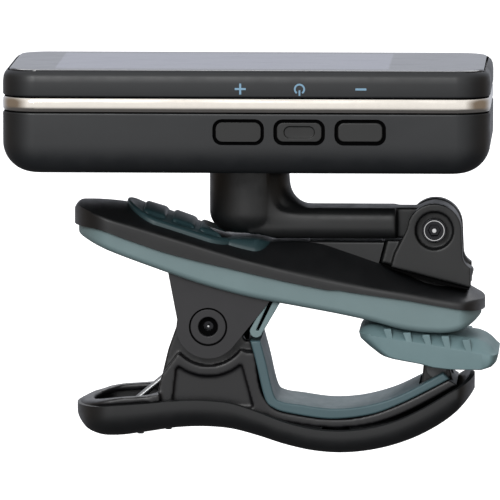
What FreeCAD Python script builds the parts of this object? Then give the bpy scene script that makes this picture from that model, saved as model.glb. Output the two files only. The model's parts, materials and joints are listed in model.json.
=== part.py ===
"""Clip-on tuner: a flat display head on a swing arm, carried by a sprung clip.

The origin is the centre of the grip, where the two jaws meet. +X runs from the
handles to the nose of the clip, +Y across it and +Z up through the head.
"""
import FreeCAD, Part
import math
import os
import Sketcher
from FreeCAD import Placement, Rotation, Vector

DIMENSIONS = [
    # display head
    ("head_length", 71.0), ("head_depth", 34.0), ("head_corner", 5.0), ("head_x", -26.2),
    ("head_bottom", 23.9), ("rear_height", 9.0), ("trim_height", 2.0), ("front_height", 3.85),
    ("seam", 0.04), ("case_wall", 1.5), ("end_round_long", 4.6), ("end_round_high", 4.4),
    ("side_round", 2.3), ("lens_inset", 0.8), ("lens_thick", 0.95), ("lens_rise", 0.28),
    ("window_length", 61.0), ("window_depth", 24.0), ("screen_gap", 0.8),
    ("lcd_thick", 1.5), ("backlight_thick", 1.1), ("board_length", 65.0), ("board_depth", 28.0),
    ("board_thick", 1.0), ("board_z", 33.2),
    # buttons in the head's near side
    ("button_first", -1.0), ("button_pitch", 8.85), ("button_z", 30.1), ("button_length", 6.5),
    ("button_high", 2.8), ("button_corner", 1.0), ("button_play", 0.1),
    ("pocket_length", 7.4), ("pocket_high", 3.7), ("pocket_deep", 0.7), ("flange_lip", 0.35),
    ("flange_thick", 0.4), ("dimple_length", 4.4), ("dimple_high", 1.66), ("dimple_deep", 0.35),
    # battery and sensor
    ("cell_diameter", 16.0), ("cell_thick", 3.2), ("cell_z", 26.3), ("battery_x", -16.9),
    ("cover_diameter", 18.4), ("cover_thick", 1.6), ("coin_slot_length", 11.0),
    ("coin_slot_width", 1.8), ("coin_slot_deep", 0.8), ("piezo_diameter", 12.0),
    ("piezo_thick", 0.5),
    # swing arm
    ("post_radius", 5.9), ("post_bottom", 13.95), ("post_round", 3.1), ("post_clearance", 0.5),
    ("bar_top", 17.8), ("bar_bottom", 13.25), ("bar_half", 5.0), ("bar_round", 1.7), ("bar_reach", 5.6),
    ("web_round", 3.7), ("swivel_gap", 0.15), ("spigot_radius", 3.0), ("fit", 0.06),
    # tilt hinge and turret
    ("hinge_x", 1.0), ("hinge_z", 14.65), ("ear_radius", 4.0), ("hinge_half", 5.5),
    ("slot_half", 3.0), ("knuckle_half", 2.7), ("knuckle_radius", 3.85), ("hinge_bolt", 1.0),
    ("bolt_head", 1.8), ("bolt_recess", 2.8), ("bolt_recess_deep", 1.7), ("nut_flats", 4.0),
    ("turret_x", 0.95), ("turret_z", 7.65), ("turret_tilt", 14.5), ("turret_radius", 5.4),
    ("turret_high", 2.6), ("turret_sweep", 8.5), ("turret_spigot", 2.3), ("seat_gap", 0.12),
    # clip
    ("clip_half", 10.0), ("crest_half", 3.0), ("shell_wall", 1.6), ("ridge_half", 3.0),
    ("pad_half_width", 7.9), ("pad_skin", 0.75), ("pad_bar", 1.35), ("pad_bar_length", 3.2),
    ("pad_bar_half", 6.7), ("liner_half", 9.45), ("pivot_x", -32.0), ("pivot_z", 0.65),
    ("pin_radius", 1.43), ("cap_radius", 2.6), ("ear_round", 4.65), ("ear_outer", 8.0),
    ("ear_inner", 6.0), ("lug_outer", 5.7), ("lug_inner", 3.9), ("lug_round", 4.7),
    ("yoke_arch", 5.85), ("panel_deep", 0.7), ("lower_wall", 1.3),
    ("wire", 1.0), ("coil_radius", 2.1), ("coil_turns", 4.2236), ("coil_pitch", 1.1),
    # jaw pad
    ("pad_pin_x", 1.35), ("pad_pin_z", -5.5), ("pad_pin_radius", 1.0), ("pad_half", 9.45),
    ("tip_lug_outer", 5.0), ("tip_lug_inner", 3.0), ("tip_lug_round", 1.95),
]

doc = FreeCAD.newDocument("clip_on_tuner")
sheet = doc.addObject("Spreadsheet::Sheet", "dims")
for row, (alias, value) in enumerate(DIMENSIONS, start=1):
    sheet.set("A%d" % row, alias)
    sheet.set("B%d" % row, str(value))
    sheet.setAlias("B%d" % row, alias)
doc.recompute()


def dim(alias):
    """The number held by one aliased cell."""
    return float(sheet.get(alias))


NODES = {}
ACROSS = Vector(0, 1, 0)
UP = Vector(0, 0, 1)
PIVOT = (dim("pivot_x"), dim("pivot_z"))
HINGE = (dim("hinge_x"), dim("hinge_z"))
PAD_PIN = (dim("pad_pin_x"), dim("pad_pin_z"))


# ---------------------------------------------------------------- helpers
def bind(obj, **expressions):
    """Bind properties to the sheet; a double underscore stands for a dot."""
    for key, text in expressions.items():
        obj.setExpression(key.replace("__", "."), text)
    return obj


def finish(node, obj):
    """Register an object as the sub-part of that name."""
    obj.Label = node
    NODES[node] = obj
    return obj


def feature(node, shape, base=Vector(0, 0, 0)):
    """A sub-part whose shape is worked out with Part's functions."""
    obj = doc.addObject("Part::Feature", node)
    obj.Shape = shape
    obj.Placement = Placement(base, Rotation())
    return finish(node, obj)


def turned(axis):
    return Rotation(UP, axis)


def cylinder(name, radius, height, base, axis=UP):
    """Cylinder bound to the sheet, from base along axis."""
    obj = doc.addObject("Part::Cylinder", name)
    obj.Placement = Placement(base, turned(axis))
    return bind(obj, Radius=radius, Height=height)


def box(name, length, width, height, corner):
    """Box bound to the sheet, with its lowest corner at corner."""
    obj = doc.addObject("Part::Box", name)
    obj.Placement = Placement(corner, Rotation())
    return bind(obj, Length=length, Width=width, Height=height)


def fuse(name, shapes):
    obj = doc.addObject("Part::MultiFuse", name)
    obj.Shapes = shapes
    return obj


def cut(name, base, tool):
    obj = doc.addObject("Part::Cut", name)
    obj.Base = base
    obj.Tool = tool
    return obj


def hexagon(name, flats, height, base, axis):
    """Hexagonal prism, used for nuts and for key sockets."""
    obj = doc.addObject("Part::Prism", name)
    obj.Polygon = 6
    obj.Placement = Placement(base, turned(axis))
    return bind(obj, Circumradius=flats + " / sqrt(3)", Height=height)


# PartDesign helpers
def plane(body, role):
    return [item for item in body.Origin.OriginFeatures if item.Role == role][0]


def new_body(node, **placement):
    body = doc.addObject("PartDesign::Body", node)
    bind(body, **placement)
    return finish(node, body)


def sketch(body, name, role="XY_Plane", offset=None):
    item = body.newObject("Sketcher::SketchObject", name)
    item.AttachmentSupport = [(plane(body, role), "")]
    item.MapMode = "FlatFace"
    for axis, text in (offset or {}).items():
        item.setExpression(".AttachmentOffset.Base." + axis, text)
    return item


def number(text):
    """Value of a sheet expression."""
    value = sheet.evalExpression(text)
    return float(getattr(value, "Value", value))


def rectangle(item, length, width, corner="0.5"):
    """Rounded rectangle centred on the sketch's origin."""
    radius = number(corner)
    far_x = number(length) / 2
    far_y = number(width) / 2
    near_x = far_x - radius
    near_y = far_y - radius
    lines = [((-near_x, -far_y), (near_x, -far_y)), ((far_x, -near_y), (far_x, near_y)),
             ((near_x, far_y), (-near_x, far_y)), ((-far_x, near_y), (-far_x, -near_y))]
    centres = [(near_x, -near_y), (near_x, near_y), (-near_x, near_y), (-near_x, -near_y)]
    for start, end in lines:
        item.addGeometry(Part.LineSegment(Vector(*start, 0), Vector(*end, 0)), False)
    for turn, centre in enumerate(centres):
        whole = Part.Circle(Vector(*centre, 0), UP, radius)
        first = math.radians(90 * turn - 90)
        item.addGeometry(Part.ArcOfCircle(whole, first, first + math.pi / 2), False)
    for index in range(4):
        item.addConstraint(Sketcher.Constraint("Tangent", index, 2, index + 4, 1))
        item.addConstraint(Sketcher.Constraint("Tangent", index + 4, 2, (index + 1) % 4, 1))
    item.addConstraint(Sketcher.Constraint("Horizontal", 0))
    item.addConstraint(Sketcher.Constraint("Vertical", 1))
    for index in (5, 6, 7):
        item.addConstraint(Sketcher.Constraint("Equal", 4, index))
    item.addConstraint(Sketcher.Constraint("Symmetric", 4, 3, 6, 3, -1, 1))
    sizes = (
        (Sketcher.Constraint("DistanceX", 3, 1, 1, 1, 2 * far_x), length),
        (Sketcher.Constraint("DistanceY", 0, 1, 2, 1, 2 * far_y), width),
        (Sketcher.Constraint("Radius", 4, radius), corner),
    )
    for constraint, text in sizes:
        item.setExpression("Constraints[%d]" % item.addConstraint(constraint), text)


def pad(body, name, item, length):
    obj = body.newObject("PartDesign::Pad", name)
    obj.Profile = item
    obj.setExpression("Length", length)
    doc.recompute()
    return obj


def pocket(body, name, item, length, reverse=False):
    """Pocket that is checked to have removed material."""
    before = body.Shape.Volume
    obj = body.newObject("PartDesign::Pocket", name)
    obj.Profile = item
    obj.Reversed = reverse
    obj.setExpression("Length", length)
    doc.recompute()
    if body.Shape.Volume > before - 1e-6:
        raise ValueError(name + " removes nothing")
    return obj


def round_edges(body, name, keep, radius):
    """Fillet every edge of the body's tip that keep() accepts."""
    tip = body.Tip
    names = ["Edge%d" % (n + 1) for n, edge in enumerate(tip.Shape.Edges) if keep(edge)]
    obj = body.newObject("PartDesign::Fillet", name)
    obj.Base = (tip, names)
    obj.setExpression("Radius", radius)
    doc.recompute()
    return obj


def along(axis):
    """Test for straight edges that run along an axis."""
    def keep(edge):
        if edge.Curve.TypeId != "Part::GeomLine":
            return False
        return abs(abs(edge.Curve.Direction.dot(axis)) - 1) < 1e-6
    return keep


def at_height(z):
    """Test for edges that lie in one horizontal plane."""
    def keep(edge):
        bounds = edge.BoundBox
        return abs(bounds.ZMin - z) < 1e-6 and abs(bounds.ZMax - z) < 1e-6
    return keep


# shape helpers for the moulded pieces
def chain(points, place):
    """Closed wire through points; a point with four numbers ends an arc through its middle."""
    edges = []
    for here, after in zip(points, points[1:] + points[:1]):
        start = place(here[0], here[1])
        end = place(after[0], after[1])
        if len(after) == 4:
            edges.append(Part.Arc(start, place(after[2], after[3]), end).toShape())
        elif start.distanceToPoint(end) > 1e-6:
            edges.append(Part.makeLine(start, end))
    return Part.Wire(edges)


def ring(points, y=0.0):
    """Closed face in an XZ plane from (x, z) points; it may end on its first point."""
    if len(points[-1]) == 4 and points[-1][:2] == points[0][:2]:
        start = points[-1][:2]
        points = [start] + points[1:]
    return Part.Face(chain(points, lambda x, z: Vector(x, y, z)))


def plate(points, low, high):
    """Side outline made into a plate between two values of Y."""
    return ring(points, low).extrude(Vector(0, high - low, 0))


def both_sides(points, inner, outer):
    """The same plate on the near and the far side of the clip."""
    return plate(points, -outer, -inner).fuse(plate(points, inner, outer))


def rod(radius, low, high, centre):
    """Cylinder along Y between two values of Y."""
    return Part.makeCylinder(radius, high - low, Vector(centre[0], low, centre[1]), ACROSS)


def band(upper, lower):
    """Closed face in the XZ plane between two splines through (x, z) points."""
    curves = []
    for line in (upper, lower):
        spline = Part.BSplineCurve()
        spline.interpolate([Vector(x, 0, z) for x, z in line])
        curves.append(spline.toShape())
    ends = [Part.makeLine(Vector(a[0], 0, a[1]), Vector(b[0], 0, b[1]))
            for a, b in ((upper[0], lower[0]), (upper[-1], lower[-1]))]
    return Part.Face(Part.Wire(Part.__sortEdges__(curves + ends)))


def wide(face, half):
    """Extrude an XZ face to both sides of the middle plane."""
    moved = face.copy()
    moved.translate(Vector(0, -half, 0))
    return moved.extrude(Vector(0, 2 * half, 0))


def half_ellipse(centre, reach, half, sign):
    """Rounded end of a plan outline, as half of an ellipse on the side given by sign."""
    middle = Vector(centre, 0, 0)
    long_end = Vector(centre, half, 0) if half > reach else Vector(centre + reach, 0, 0)
    short_end = Vector(centre + reach, 0, 0) if half > reach else Vector(centre, half, 0)
    ellipse = Part.Ellipse(long_end, short_end, middle)
    first = ellipse.parameter(Vector(centre, -half, 0))
    second = ellipse.parameter(Vector(centre, half, 0))
    arcs = [Part.Arc(ellipse, first, second).toShape(), Part.Arc(ellipse, second, first).toShape()]
    return max(arcs, key=lambda arc: sign * arc.CenterOfMass.x)


def outline_prism(left, left_reach, right, right_reach, half, low=-40.0, high=60.0):
    """Upright prism with straight sides and elliptical ends."""
    edges = [
        half_ellipse(left, left_reach, half, -1),
        Part.makeLine(Vector(left, -half, 0), Vector(right, -half, 0)),
        half_ellipse(right, right_reach, half, 1),
        Part.makeLine(Vector(right, half, 0), Vector(left, half, 0)),
    ]
    face = Part.Face(Part.Wire(Part.__sortEdges__(edges)))
    face.translate(Vector(0, 0, low))
    return face.extrude(Vector(0, 0, high - low))


def wire_across(x, points):
    """Closed wire in the plane at x from (y, z) points."""
    return chain(points, lambda y, z: Vector(x, y, z))


def crown(x, half, low, shoulder, crest):
    """Cross-section with upright sides, sloping shoulders and a flat crest."""
    flat = dim("crest_half")
    return wire_across(x, [(-half, low), (half, low), (half, shoulder), (flat, crest),
                           (-flat, crest), (-half, shoulder)])


def slab(x, half, low, high):
    return wire_across(x, [(-half, low), (half, low), (half, high), (-half, high)])


def tub(x, half, rim, floor, corner):
    """Cross-section with a flat top and a rounded bottom."""
    bend = corner * (1 - math.sqrt(0.5))
    return wire_across(x, [
        (-half, rim), (-half, floor + corner),
        (-half + corner, floor, -half + bend, floor + bend),
        (half - corner, floor),
        (half, floor + corner, half - bend, floor + bend),
        (half, rim),
    ])


def loft(wires, ruled=False):
    return Part.makeLoft(wires, True, ruled)


def rounded(shape, radius, keep):
    """Fillet the chosen edges of a shape."""
    return shape.makeFillet(radius, [edge for edge in shape.Edges if keep(edge)])


# ---------------------------------------------------------------- display head
def head_level(*aliases):
    """Expression for a height above the underside of the head."""
    return " + ".join(["dims.head_bottom"] + ["dims." + alias for alias in aliases])


def cased_body(node, z, length, depth, height, corner):
    """Rounded rectangular plate on the head's centre line."""
    body = new_body(node, Placement__Base__x="dims.head_x", Placement__Base__z=z)
    outline = sketch(body, node + "_outline")
    rectangle(outline, length, depth, corner)
    pad(body, node + "_plate", outline, height)
    return body


def build_display():
    """Lens, front case, trim ring, screen stack and board."""
    lens = cased_body("display_lens",
                      head_level("rear_height", "trim_height", "front_height", "lens_rise")
                      + " - dims.lens_thick",
                      "dims.head_length - 2 * dims.lens_inset",
                      "dims.head_depth - 2 * dims.lens_inset",
                      "dims.lens_thick", "dims.head_corner - dims.lens_inset")
    round_edges(lens, "display_lens_edge", at_height(dim("lens_thick")), "dims.lens_rise * 0.8")

    front = cased_body("front_case", head_level("rear_height", "trim_height", "seam"),
                       "dims.head_length", "dims.head_depth",
                       "dims.front_height - dims.seam", "dims.head_corner")
    top = dim("front_height") - dim("seam")
    round_edges(front, "front_case_edge", at_height(top), "0.4")
    seat = sketch(front, "front_case_seat", offset={"z": "dims.front_height - dims.seam"})
    rectangle(seat, "dims.head_length - 2 * dims.lens_inset + dims.fit",
              "dims.head_depth - 2 * dims.lens_inset + dims.fit",
              "dims.head_corner - dims.lens_inset")
    pocket(front, "front_case_lens_seat", seat, "dims.lens_thick - dims.lens_rise")
    window = sketch(front, "front_case_window")
    rectangle(window, "dims.window_length", "dims.window_depth")
    pocket(front, "front_case_opening", window, "10", reverse=True)
    room = sketch(front, "front_case_room")
    rectangle(room, "dims.head_length - 2 * dims.case_wall",
              "dims.head_depth - 2 * dims.case_wall", "dims.head_corner - dims.case_wall")
    pocket(front, "front_case_hollow", room,
           "dims.front_height - dims.seam - dims.lens_thick + dims.lens_rise - dims.screen_gap",
           reverse=True)

    trim = cased_body("trim_ring", head_level("rear_height", "seam"), "dims.head_length",
                      "dims.head_depth", "dims.trim_height - dims.seam", "dims.head_corner")
    hole = sketch(trim, "trim_ring_hole")
    rectangle(hole, "dims.head_length - 2 * dims.case_wall",
              "dims.head_depth - 2 * dims.case_wall", "dims.head_corner - dims.case_wall")
    pocket(trim, "trim_ring_opening", hole, "dims.trim_height", reverse=True)

    screen_top = "(" + head_level("rear_height", "trim_height", "front_height",
                                  "lens_rise") + " - dims.lens_thick - dims.screen_gap)"
    cased_body("lcd_panel", screen_top + " - dims.lcd_thick", "dims.window_length + 3",
               "dims.window_depth + 2", "dims.lcd_thick - dims.seam", "0.8")
    cased_body("backlight_plate", screen_top + " - dims.lcd_thick - dims.backlight_thick",
               "dims.window_length + 2", "dims.window_depth + 1",
               "dims.backlight_thick - dims.seam", "0.8")
    cased_body("circuit_board", "dims.board_z", "dims.board_length", "dims.board_depth",
               "dims.board_thick", "3")


def corner_curve(half, reach, high, place):
    """Lower corner of the head's outline, a quarter of an ellipse."""
    points = []
    for step in range(7):
        turn = math.pi / 12 * step
        points.append(place(half - reach * (1 - math.cos(turn)), high * (1 - math.sin(turn))))
    spline = Part.BSplineCurve()
    spline.interpolate(points, InitialTangent=place(half, 0) - place(half, 1),
                       FinalTangent=place(0, 0) - place(1, 0))
    return spline.toShape()


def soft_prism(half, top, reach, high, place, travel):
    """Outline of a tray with elliptical lower corners, carried along travel."""
    edges = []
    for sign in (-1, 1):
        def side(across, up):
            return place(sign * across, up)
        edges.append(corner_curve(half, reach, high, side))
        edges.append(Part.makeLine(side(half, high), side(half, top)))
    edges.append(Part.makeLine(place(-half + reach, 0), place(half - reach, 0)))
    edges.append(Part.makeLine(place(-half, top), place(half, top)))
    return Part.Face(Part.Wire(Part.__sortEdges__(edges))).extrude(travel)


def rear_solid(inset):
    """The rear case's body: its underside is rounded further at the two ends."""
    half_x = dim("head_length") / 2 - inset
    half_y = dim("head_depth") / 2 - inset
    top = dim("rear_height")
    plan = Part.makeBox(2 * half_x, 2 * half_y, top, Vector(-half_x, -half_y, 0))
    plan = rounded(plan, dim("head_corner") - inset, along(UP))
    ends = soft_prism(half_x, top, dim("end_round_long"), dim("end_round_high"),
                      lambda x, z: Vector(x, -half_y, z), Vector(0, 2 * half_y, 0))
    sides = soft_prism(half_y, top, dim("side_round"), dim("side_round"),
                       lambda y, z: Vector(-half_x, y, z), Vector(2 * half_x, 0, 0))
    return plan.common(ends).common(sides)


def rear_cavity():
    """Room inside the rear case, with the same soft corners."""
    inner = rear_solid(dim("case_wall"))
    inner.translate(Vector(0, 0, dim("case_wall")))
    return inner


def button_centres():
    return [dim("button_first") + dim("button_pitch") * index for index in range(3)]


def side_block(x, z, length, high, near, far, corner):
    """Block in the near wall with rounded corners in its front view."""
    block = Part.makeBox(length, far - near, high, Vector(x - length / 2, near, z - high / 2))
    return rounded(block, corner, along(ACROSS))


def build_rear_case():
    wall = dim("case_wall")
    near = -dim("head_depth") / 2
    level = dim("button_z") - dim("head_bottom")
    case = rear_solid(0.0).cut(rear_cavity())
    for centre in button_centres():
        case = case.cut(side_block(centre, level, dim("pocket_length"), dim("pocket_high"),
                                   near - 1, near + dim("pocket_deep"), dim("button_corner")))
        play = 2 * dim("button_play")
        case = case.cut(side_block(centre, level, dim("button_length") + play,
                                   dim("button_high") + play, near - 1, near + wall + 1,
                                   dim("button_corner")))
    swivel = Part.makeCylinder(dim("spigot_radius") + dim("fit"), 3 * wall, Vector(0, 0, -wall))
    hatch = Part.makeCylinder(dim("cover_diameter") / 2 + dim("button_play"), 3 * wall,
                              Vector(dim("battery_x"), 0, -wall))
    case = case.cut(swivel).cut(hatch)
    for x, y in screw_places():
        boss = Part.makeCylinder(2.2, dim("rear_height") - wall, Vector(x, y, wall / 2))
        bore = Part.makeCylinder(1.3, dim("rear_height") + 2, Vector(x, y, -1))
        head = Part.makeCylinder(2.1, 2.6, Vector(x, y, -1))
        case = case.fuse(boss).cut(bore).cut(head)
    feature("rear_case", case, Vector(dim("head_x"), 0, dim("head_bottom")))


def screw_places():
    """The four case screws, about the middle of the head."""
    return [(sx * 25.0, sy * 12.2) for sx in (-1, 1) for sy in (-1, 1)]


def build_buttons():
    """Three side buttons with an inner flange; the middle one has a finger dimple."""
    near = -dim("head_depth") / 2
    flange = "(dims.case_wall + 0.1)"
    for index, name in enumerate(("button_plus", "button_power", "button_minus")):
        body = new_body(
            name,
            Placement__Base__x="dims.head_x + dims.button_first + %d * dims.button_pitch" % index,
            Placement__Base__z="dims.button_z")
        body.setExpression("Placement.Base.y", "-dims.head_depth / 2 + 0.04")
        cap = sketch(body, name + "_cap", "XZ_Plane")
        rectangle(cap, "dims.button_length", "dims.button_high", "dims.button_corner - 0.05")
        stem = pad(body, name + "_stem", cap, flange)
        stem.Reversed = True
        doc.recompute()
        lip = sketch(body, name + "_lip", "XZ_Plane", {"z": "-" + flange})
        rectangle(lip, "dims.button_length + 2 * dims.flange_lip",
                  "dims.button_high + 2 * dims.flange_lip")
        collar = pad(body, name + "_flange", lip, "dims.flange_thick")
        collar.Reversed = True
        doc.recompute()
        if index == 1:
            dimple = sketch(body, name + "_dimple", "XZ_Plane")
            rectangle(dimple, "dims.dimple_length", "dims.dimple_high",
                      "dims.dimple_high / 2 - 0.03")
            pocket(body, name + "_hollow", dimple, "dims.dimple_deep")
    blocks = []
    middle = dim("button_z") - dim("board_z")
    for centre in button_centres():
        housing = Part.makeBox(4.0, 2.4, 2.6, Vector(centre - 2.0, near + 3.3, middle - 1.3))
        plunger = Part.makeCylinder(0.8, 0.5, Vector(centre, near + 2.8, middle), ACROSS)
        tab = Part.makeBox(3.0, 1.6, -middle, Vector(centre - 1.5, near + 4.0, middle))
        blocks.append(housing.fuse([plunger, tab]))
    feature("tact_switches", Part.Compound(blocks),
            Vector(dim("head_x"), 0, dim("board_z")))


def build_battery():
    """Coin cell, its contact, the turn-to-open cover and the vibration sensor."""
    centre = Vector(dim("head_x") + dim("battery_x"), 0, 0)
    cell = cylinder("coin_cell", "dims.cell_diameter / 2", "dims.cell_thick",
                    centre + UP * dim("cell_z"))
    finish("coin_cell", cell)
    top = dim("cell_z") + dim("cell_thick")
    base = box("contact_base", "10", "5", "0.3", centre + Vector(-5, -2.5, top + 0.3))
    foot = box("contact_foot", "4", "5", "0.3", centre + Vector(-2, -2.5, top))
    legs = [box("contact_leg_%d" % side, "0.3", "5", "dims.board_z - %g" % (top + 0.3),
                centre + Vector(side * 4.85 - 0.15, -2.5, top + 0.3)) for side in (-1, 1)]
    finish("battery_contact", fuse("contact_spring", [base, foot] + legs))

    disc = cylinder("cover_disc", "dims.cover_diameter / 2", "dims.cover_thick",
                    centre + UP * dim("head_bottom"))
    ledge = cylinder("cover_ledge", "dims.cover_diameter / 2 + 0.6", "0.5",
                     centre + UP * (dim("head_bottom") + dim("cover_thick")))
    whole = fuse("cover_blank", [disc, ledge])
    slot = box("cover_slot", "dims.coin_slot_length", "dims.coin_slot_width",
               "dims.coin_slot_deep",
               centre + Vector(-dim("coin_slot_length") / 2, -dim("coin_slot_width") / 2,
                               dim("head_bottom")))
    finish("battery_cover", cut("cover_cut", whole, slot))
    piezo_place = Vector(dim("head_x") + 17.0, 0, dim("head_bottom") + dim("case_wall"))
    finish("piezo_disc", cylinder("piezo_disc", "dims.piezo_diameter / 2", "dims.piezo_thick",
                                  piezo_place))


def build_case_screws():
    """Four countersunk screws, each a solid of its own."""
    screws = []
    for x, y in screw_places():
        head = Part.makeCylinder(1.9, 1.0, Vector(x, y, 0.45))
        shank = Part.makeCylinder(1.2, 7.3, Vector(x, y, 1.3))
        socket = Part.makeBox(2.4, 0.5, 0.6, Vector(x - 1.2, y - 0.25, 0.3))
        cross = Part.makeBox(0.5, 2.4, 0.6, Vector(x - 0.25, y - 1.2, 0.3))
        screws.append(head.fuse(shank).cut(socket).cut(cross))
    feature("case_screws", Part.Compound(screws), Vector(dim("head_x"), 0, dim("head_bottom")))


# ---------------------------------------------------------------- swing arm
def build_arm():
    """Post, cranked bar and hinge knuckle in one moulding, with its swivel screw."""
    post_x = dim("head_x")
    top = dim("bar_top")
    low = dim("bar_bottom")
    foot = dim("post_bottom")
    radius = dim("post_radius")
    web = dim("web_round")
    profile = [
        (post_x, top), (HINGE[0] - dim("bar_reach"), top), (HINGE[0] - dim("bar_reach"), low),
        (post_x + 3.9, low), (post_x + 1.4, foot), (post_x, foot),
    ]
    bar = plate(profile, -dim("bar_half"), dim("bar_half"))
    bar = rounded(bar, dim("bar_round"), lambda edge: along(Vector(1, 0, 0))(edge)
                  and edge.Length > 10)
    post = Part.makeCylinder(radius, dim("head_bottom") - dim("swivel_gap") - foot,
                             Vector(post_x, 0, foot))
    post = rounded(post, dim("post_round"), at_height(foot))
    bend = web * (1 - math.sqrt(0.5))
    flare = Part.Face(chain([(radius - 1, top - 1), (radius + web, top - 1), (radius + web, top),
                             (radius, top + web, radius + bend, top + bend),
                             (radius - 1, top + web)], lambda r, z: Vector(r, 0, z)))
    flare = flare.revolve(Vector(0, 0, 0), UP, 360)
    flare.translate(Vector(post_x, 0, 0))
    reach = dim("bar_half") - dim("bar_round") * 0.6
    flare = flare.common(Part.makeBox(20, 2 * reach, 9, Vector(post_x, -reach, top - 1.5)))
    half = dim("knuckle_half")
    neck = Part.makeBox(HINGE[0] - 0.3 + 8.0, 2 * half, HINGE[1] + 3.1 - low,
                        Vector(-8.0, -half, low))
    knuckle = rod(dim("knuckle_radius"), -half, half, HINGE)
    spigot = Part.makeCylinder(dim("spigot_radius"), dim("case_wall") + dim("swivel_gap") + 0.08,
                               Vector(post_x, 0, dim("head_bottom") - dim("swivel_gap")))
    arm = bar.fuse([post, flare, neck, knuckle, spigot])
    arm = arm.cut(rod(dim("hinge_bolt") + dim("fit"), -9, 9, HINGE))
    thread = Part.makeCylinder(1.25, 9.0, Vector(post_x, 0, dim("head_bottom") - 6.0))
    feature("swing_arm", arm.cut(thread).removeSplitter())

    seat = dim("head_bottom") + dim("case_wall") + 0.08
    place = Vector(post_x, 0, seat)
    disc = cylinder("washer_disc", "dims.spigot_radius + 1.6", "0.6", place)
    hole = cylinder("washer_hole", "1.3", "0.6", place)
    finish("swivel_washer", cut("washer_cut", disc, hole))
    head = cylinder("swivel_head", "2.3", "1.5", place + UP * 0.6)
    shank = cylinder("swivel_shank", "1.25", "7", place - UP * 6.4)
    socket = hexagon("swivel_socket", "2", "1", place + UP * 1.3, UP)
    finish("swivel_screw", cut("swivel_cut", fuse("swivel_blank", [head, shank]), socket))


# ---------------------------------------------------------------- turret
def turret_axis():
    tilt = math.radians(dim("turret_tilt"))
    return Vector(math.sin(tilt), 0, math.cos(tilt))


def turret_base():
    return Vector(dim("turret_x"), 0, dim("turret_z"))


def build_turret():
    """Round base with two hinge ears that turns on a seat in the shell."""
    axis = turret_axis()
    base = turret_base()
    radius = dim("ear_radius")
    ear = [
        (HINGE[0] + radius, HINGE[1]), (5.15, 11.0), (6.3, 9.2, 5.5, 9.9), (6.4, 5.0), (-5.35, 6.0),
        (-5.3, 9.4), (-4.83, 11.12), (-3.43, 13.96),
        (HINGE[0] - radius * 0.94, HINGE[1] + radius * 0.34, -2.95, 15.1),
        (HINGE[0] + radius, HINGE[1], HINGE[0] + radius * 0.3, HINGE[1] + radius * 0.954),
    ]
    ears = both_sides(ear, dim("slot_half"), dim("hinge_half"))
    under = Part.makeCylinder(30, 20, base - axis * 20, axis)
    web = Part.makeBox(8.0, 2 * dim("slot_half") + 0.1, 6.0,
                       Vector(-8.5, -dim("slot_half") - 0.05, dim("bar_bottom") - 6.3))
    web = web.cut(rod(dim("knuckle_radius") + 0.3, -9, 9, HINGE))
    sweep = Part.makeCylinder(dim("turret_sweep"), 19.0, base, axis)
    puck = Part.makeCylinder(dim("turret_radius"), dim("turret_high"), base, axis)
    puck = rounded(puck, 0.5, lambda edge: edge.Closed and edge.CenterOfMass.sub(base).dot(axis) > 1)
    spigot = Part.makeCylinder(dim("turret_spigot"), 2.0, base - axis * 1.95, axis)
    turret = ears.fuse(web).cut(under).common(sweep).fuse([puck, spigot])
    turret = turret.cut(rod(dim("hinge_bolt") + dim("fit"), -9, 9, HINGE))
    outer = dim("hinge_half")
    deep = dim("bolt_recess_deep")
    turret = turret.cut(rod(dim("bolt_recess"), -outer - 1, -outer + deep, HINGE))
    nut = Part.makeCylinder(dim("nut_flats") / math.sqrt(3) + 0.1, deep + 1,
                            Vector(HINGE[0], outer - deep, HINGE[1]), ACROSS)
    thread = Part.makeCylinder(0.8, 6.0, base - axis * 3.0, axis)
    feature("hinge_turret", turret.cut(nut).cut(thread).removeSplitter())

    near = Vector(HINGE[0], -outer + 0.35, HINGE[1])
    head = cylinder("hinge_head", "dims.bolt_head", "dims.bolt_recess_deep - 0.35", near,
                    ACROSS)
    shank = cylinder("hinge_shank", "dims.hinge_bolt", "2 * dims.hinge_half - 1", near, ACROSS)
    socket = hexagon("hinge_socket", "1.6", "1", near, ACROSS)
    finish("hinge_screw", cut("hinge_screw_cut", fuse("hinge_blank", [head, shank]), socket))
    far = Vector(HINGE[0], outer - deep, HINGE[1])
    body = hexagon("nut_body", "dims.nut_flats", "dims.bolt_recess_deep - 0.3", far, ACROSS)
    bore = cylinder("nut_bore", "dims.hinge_bolt", "3", far, ACROSS)
    finish("hinge_nut", cut("nut_cut", body, bore))
    washers = []
    gap = dim("slot_half") - dim("knuckle_half")
    for side in (-1, 1):
        low = min(side * dim("knuckle_half"), side * dim("slot_half")) + gap * 0.15
        disc = rod(3.6, low, low + gap * 0.7, HINGE)
        washers.append(disc.cut(rod(dim("hinge_bolt") + 0.02, low - 1, low + 2, HINGE)))
    feature("hinge_washers", Part.Compound(washers))

    under_seat = base - axis * 2.45
    disc = cylinder("turret_disc", "dims.turret_spigot + 1.2", "0.5", under_seat, axis)
    hole = cylinder("turret_hole", "0.85", "0.5", under_seat, axis)
    finish("turret_washer", cut("turret_washer_cut", disc, hole))
    head = cylinder("turret_head", "1.8", "0.8", under_seat - axis * 0.8, axis)
    shank = cylinder("turret_shank", "0.8", "4.2", under_seat - axis * 0.8, axis)
    finish("turret_screw", fuse("turret_screw_blank", [head, shank]))


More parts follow.
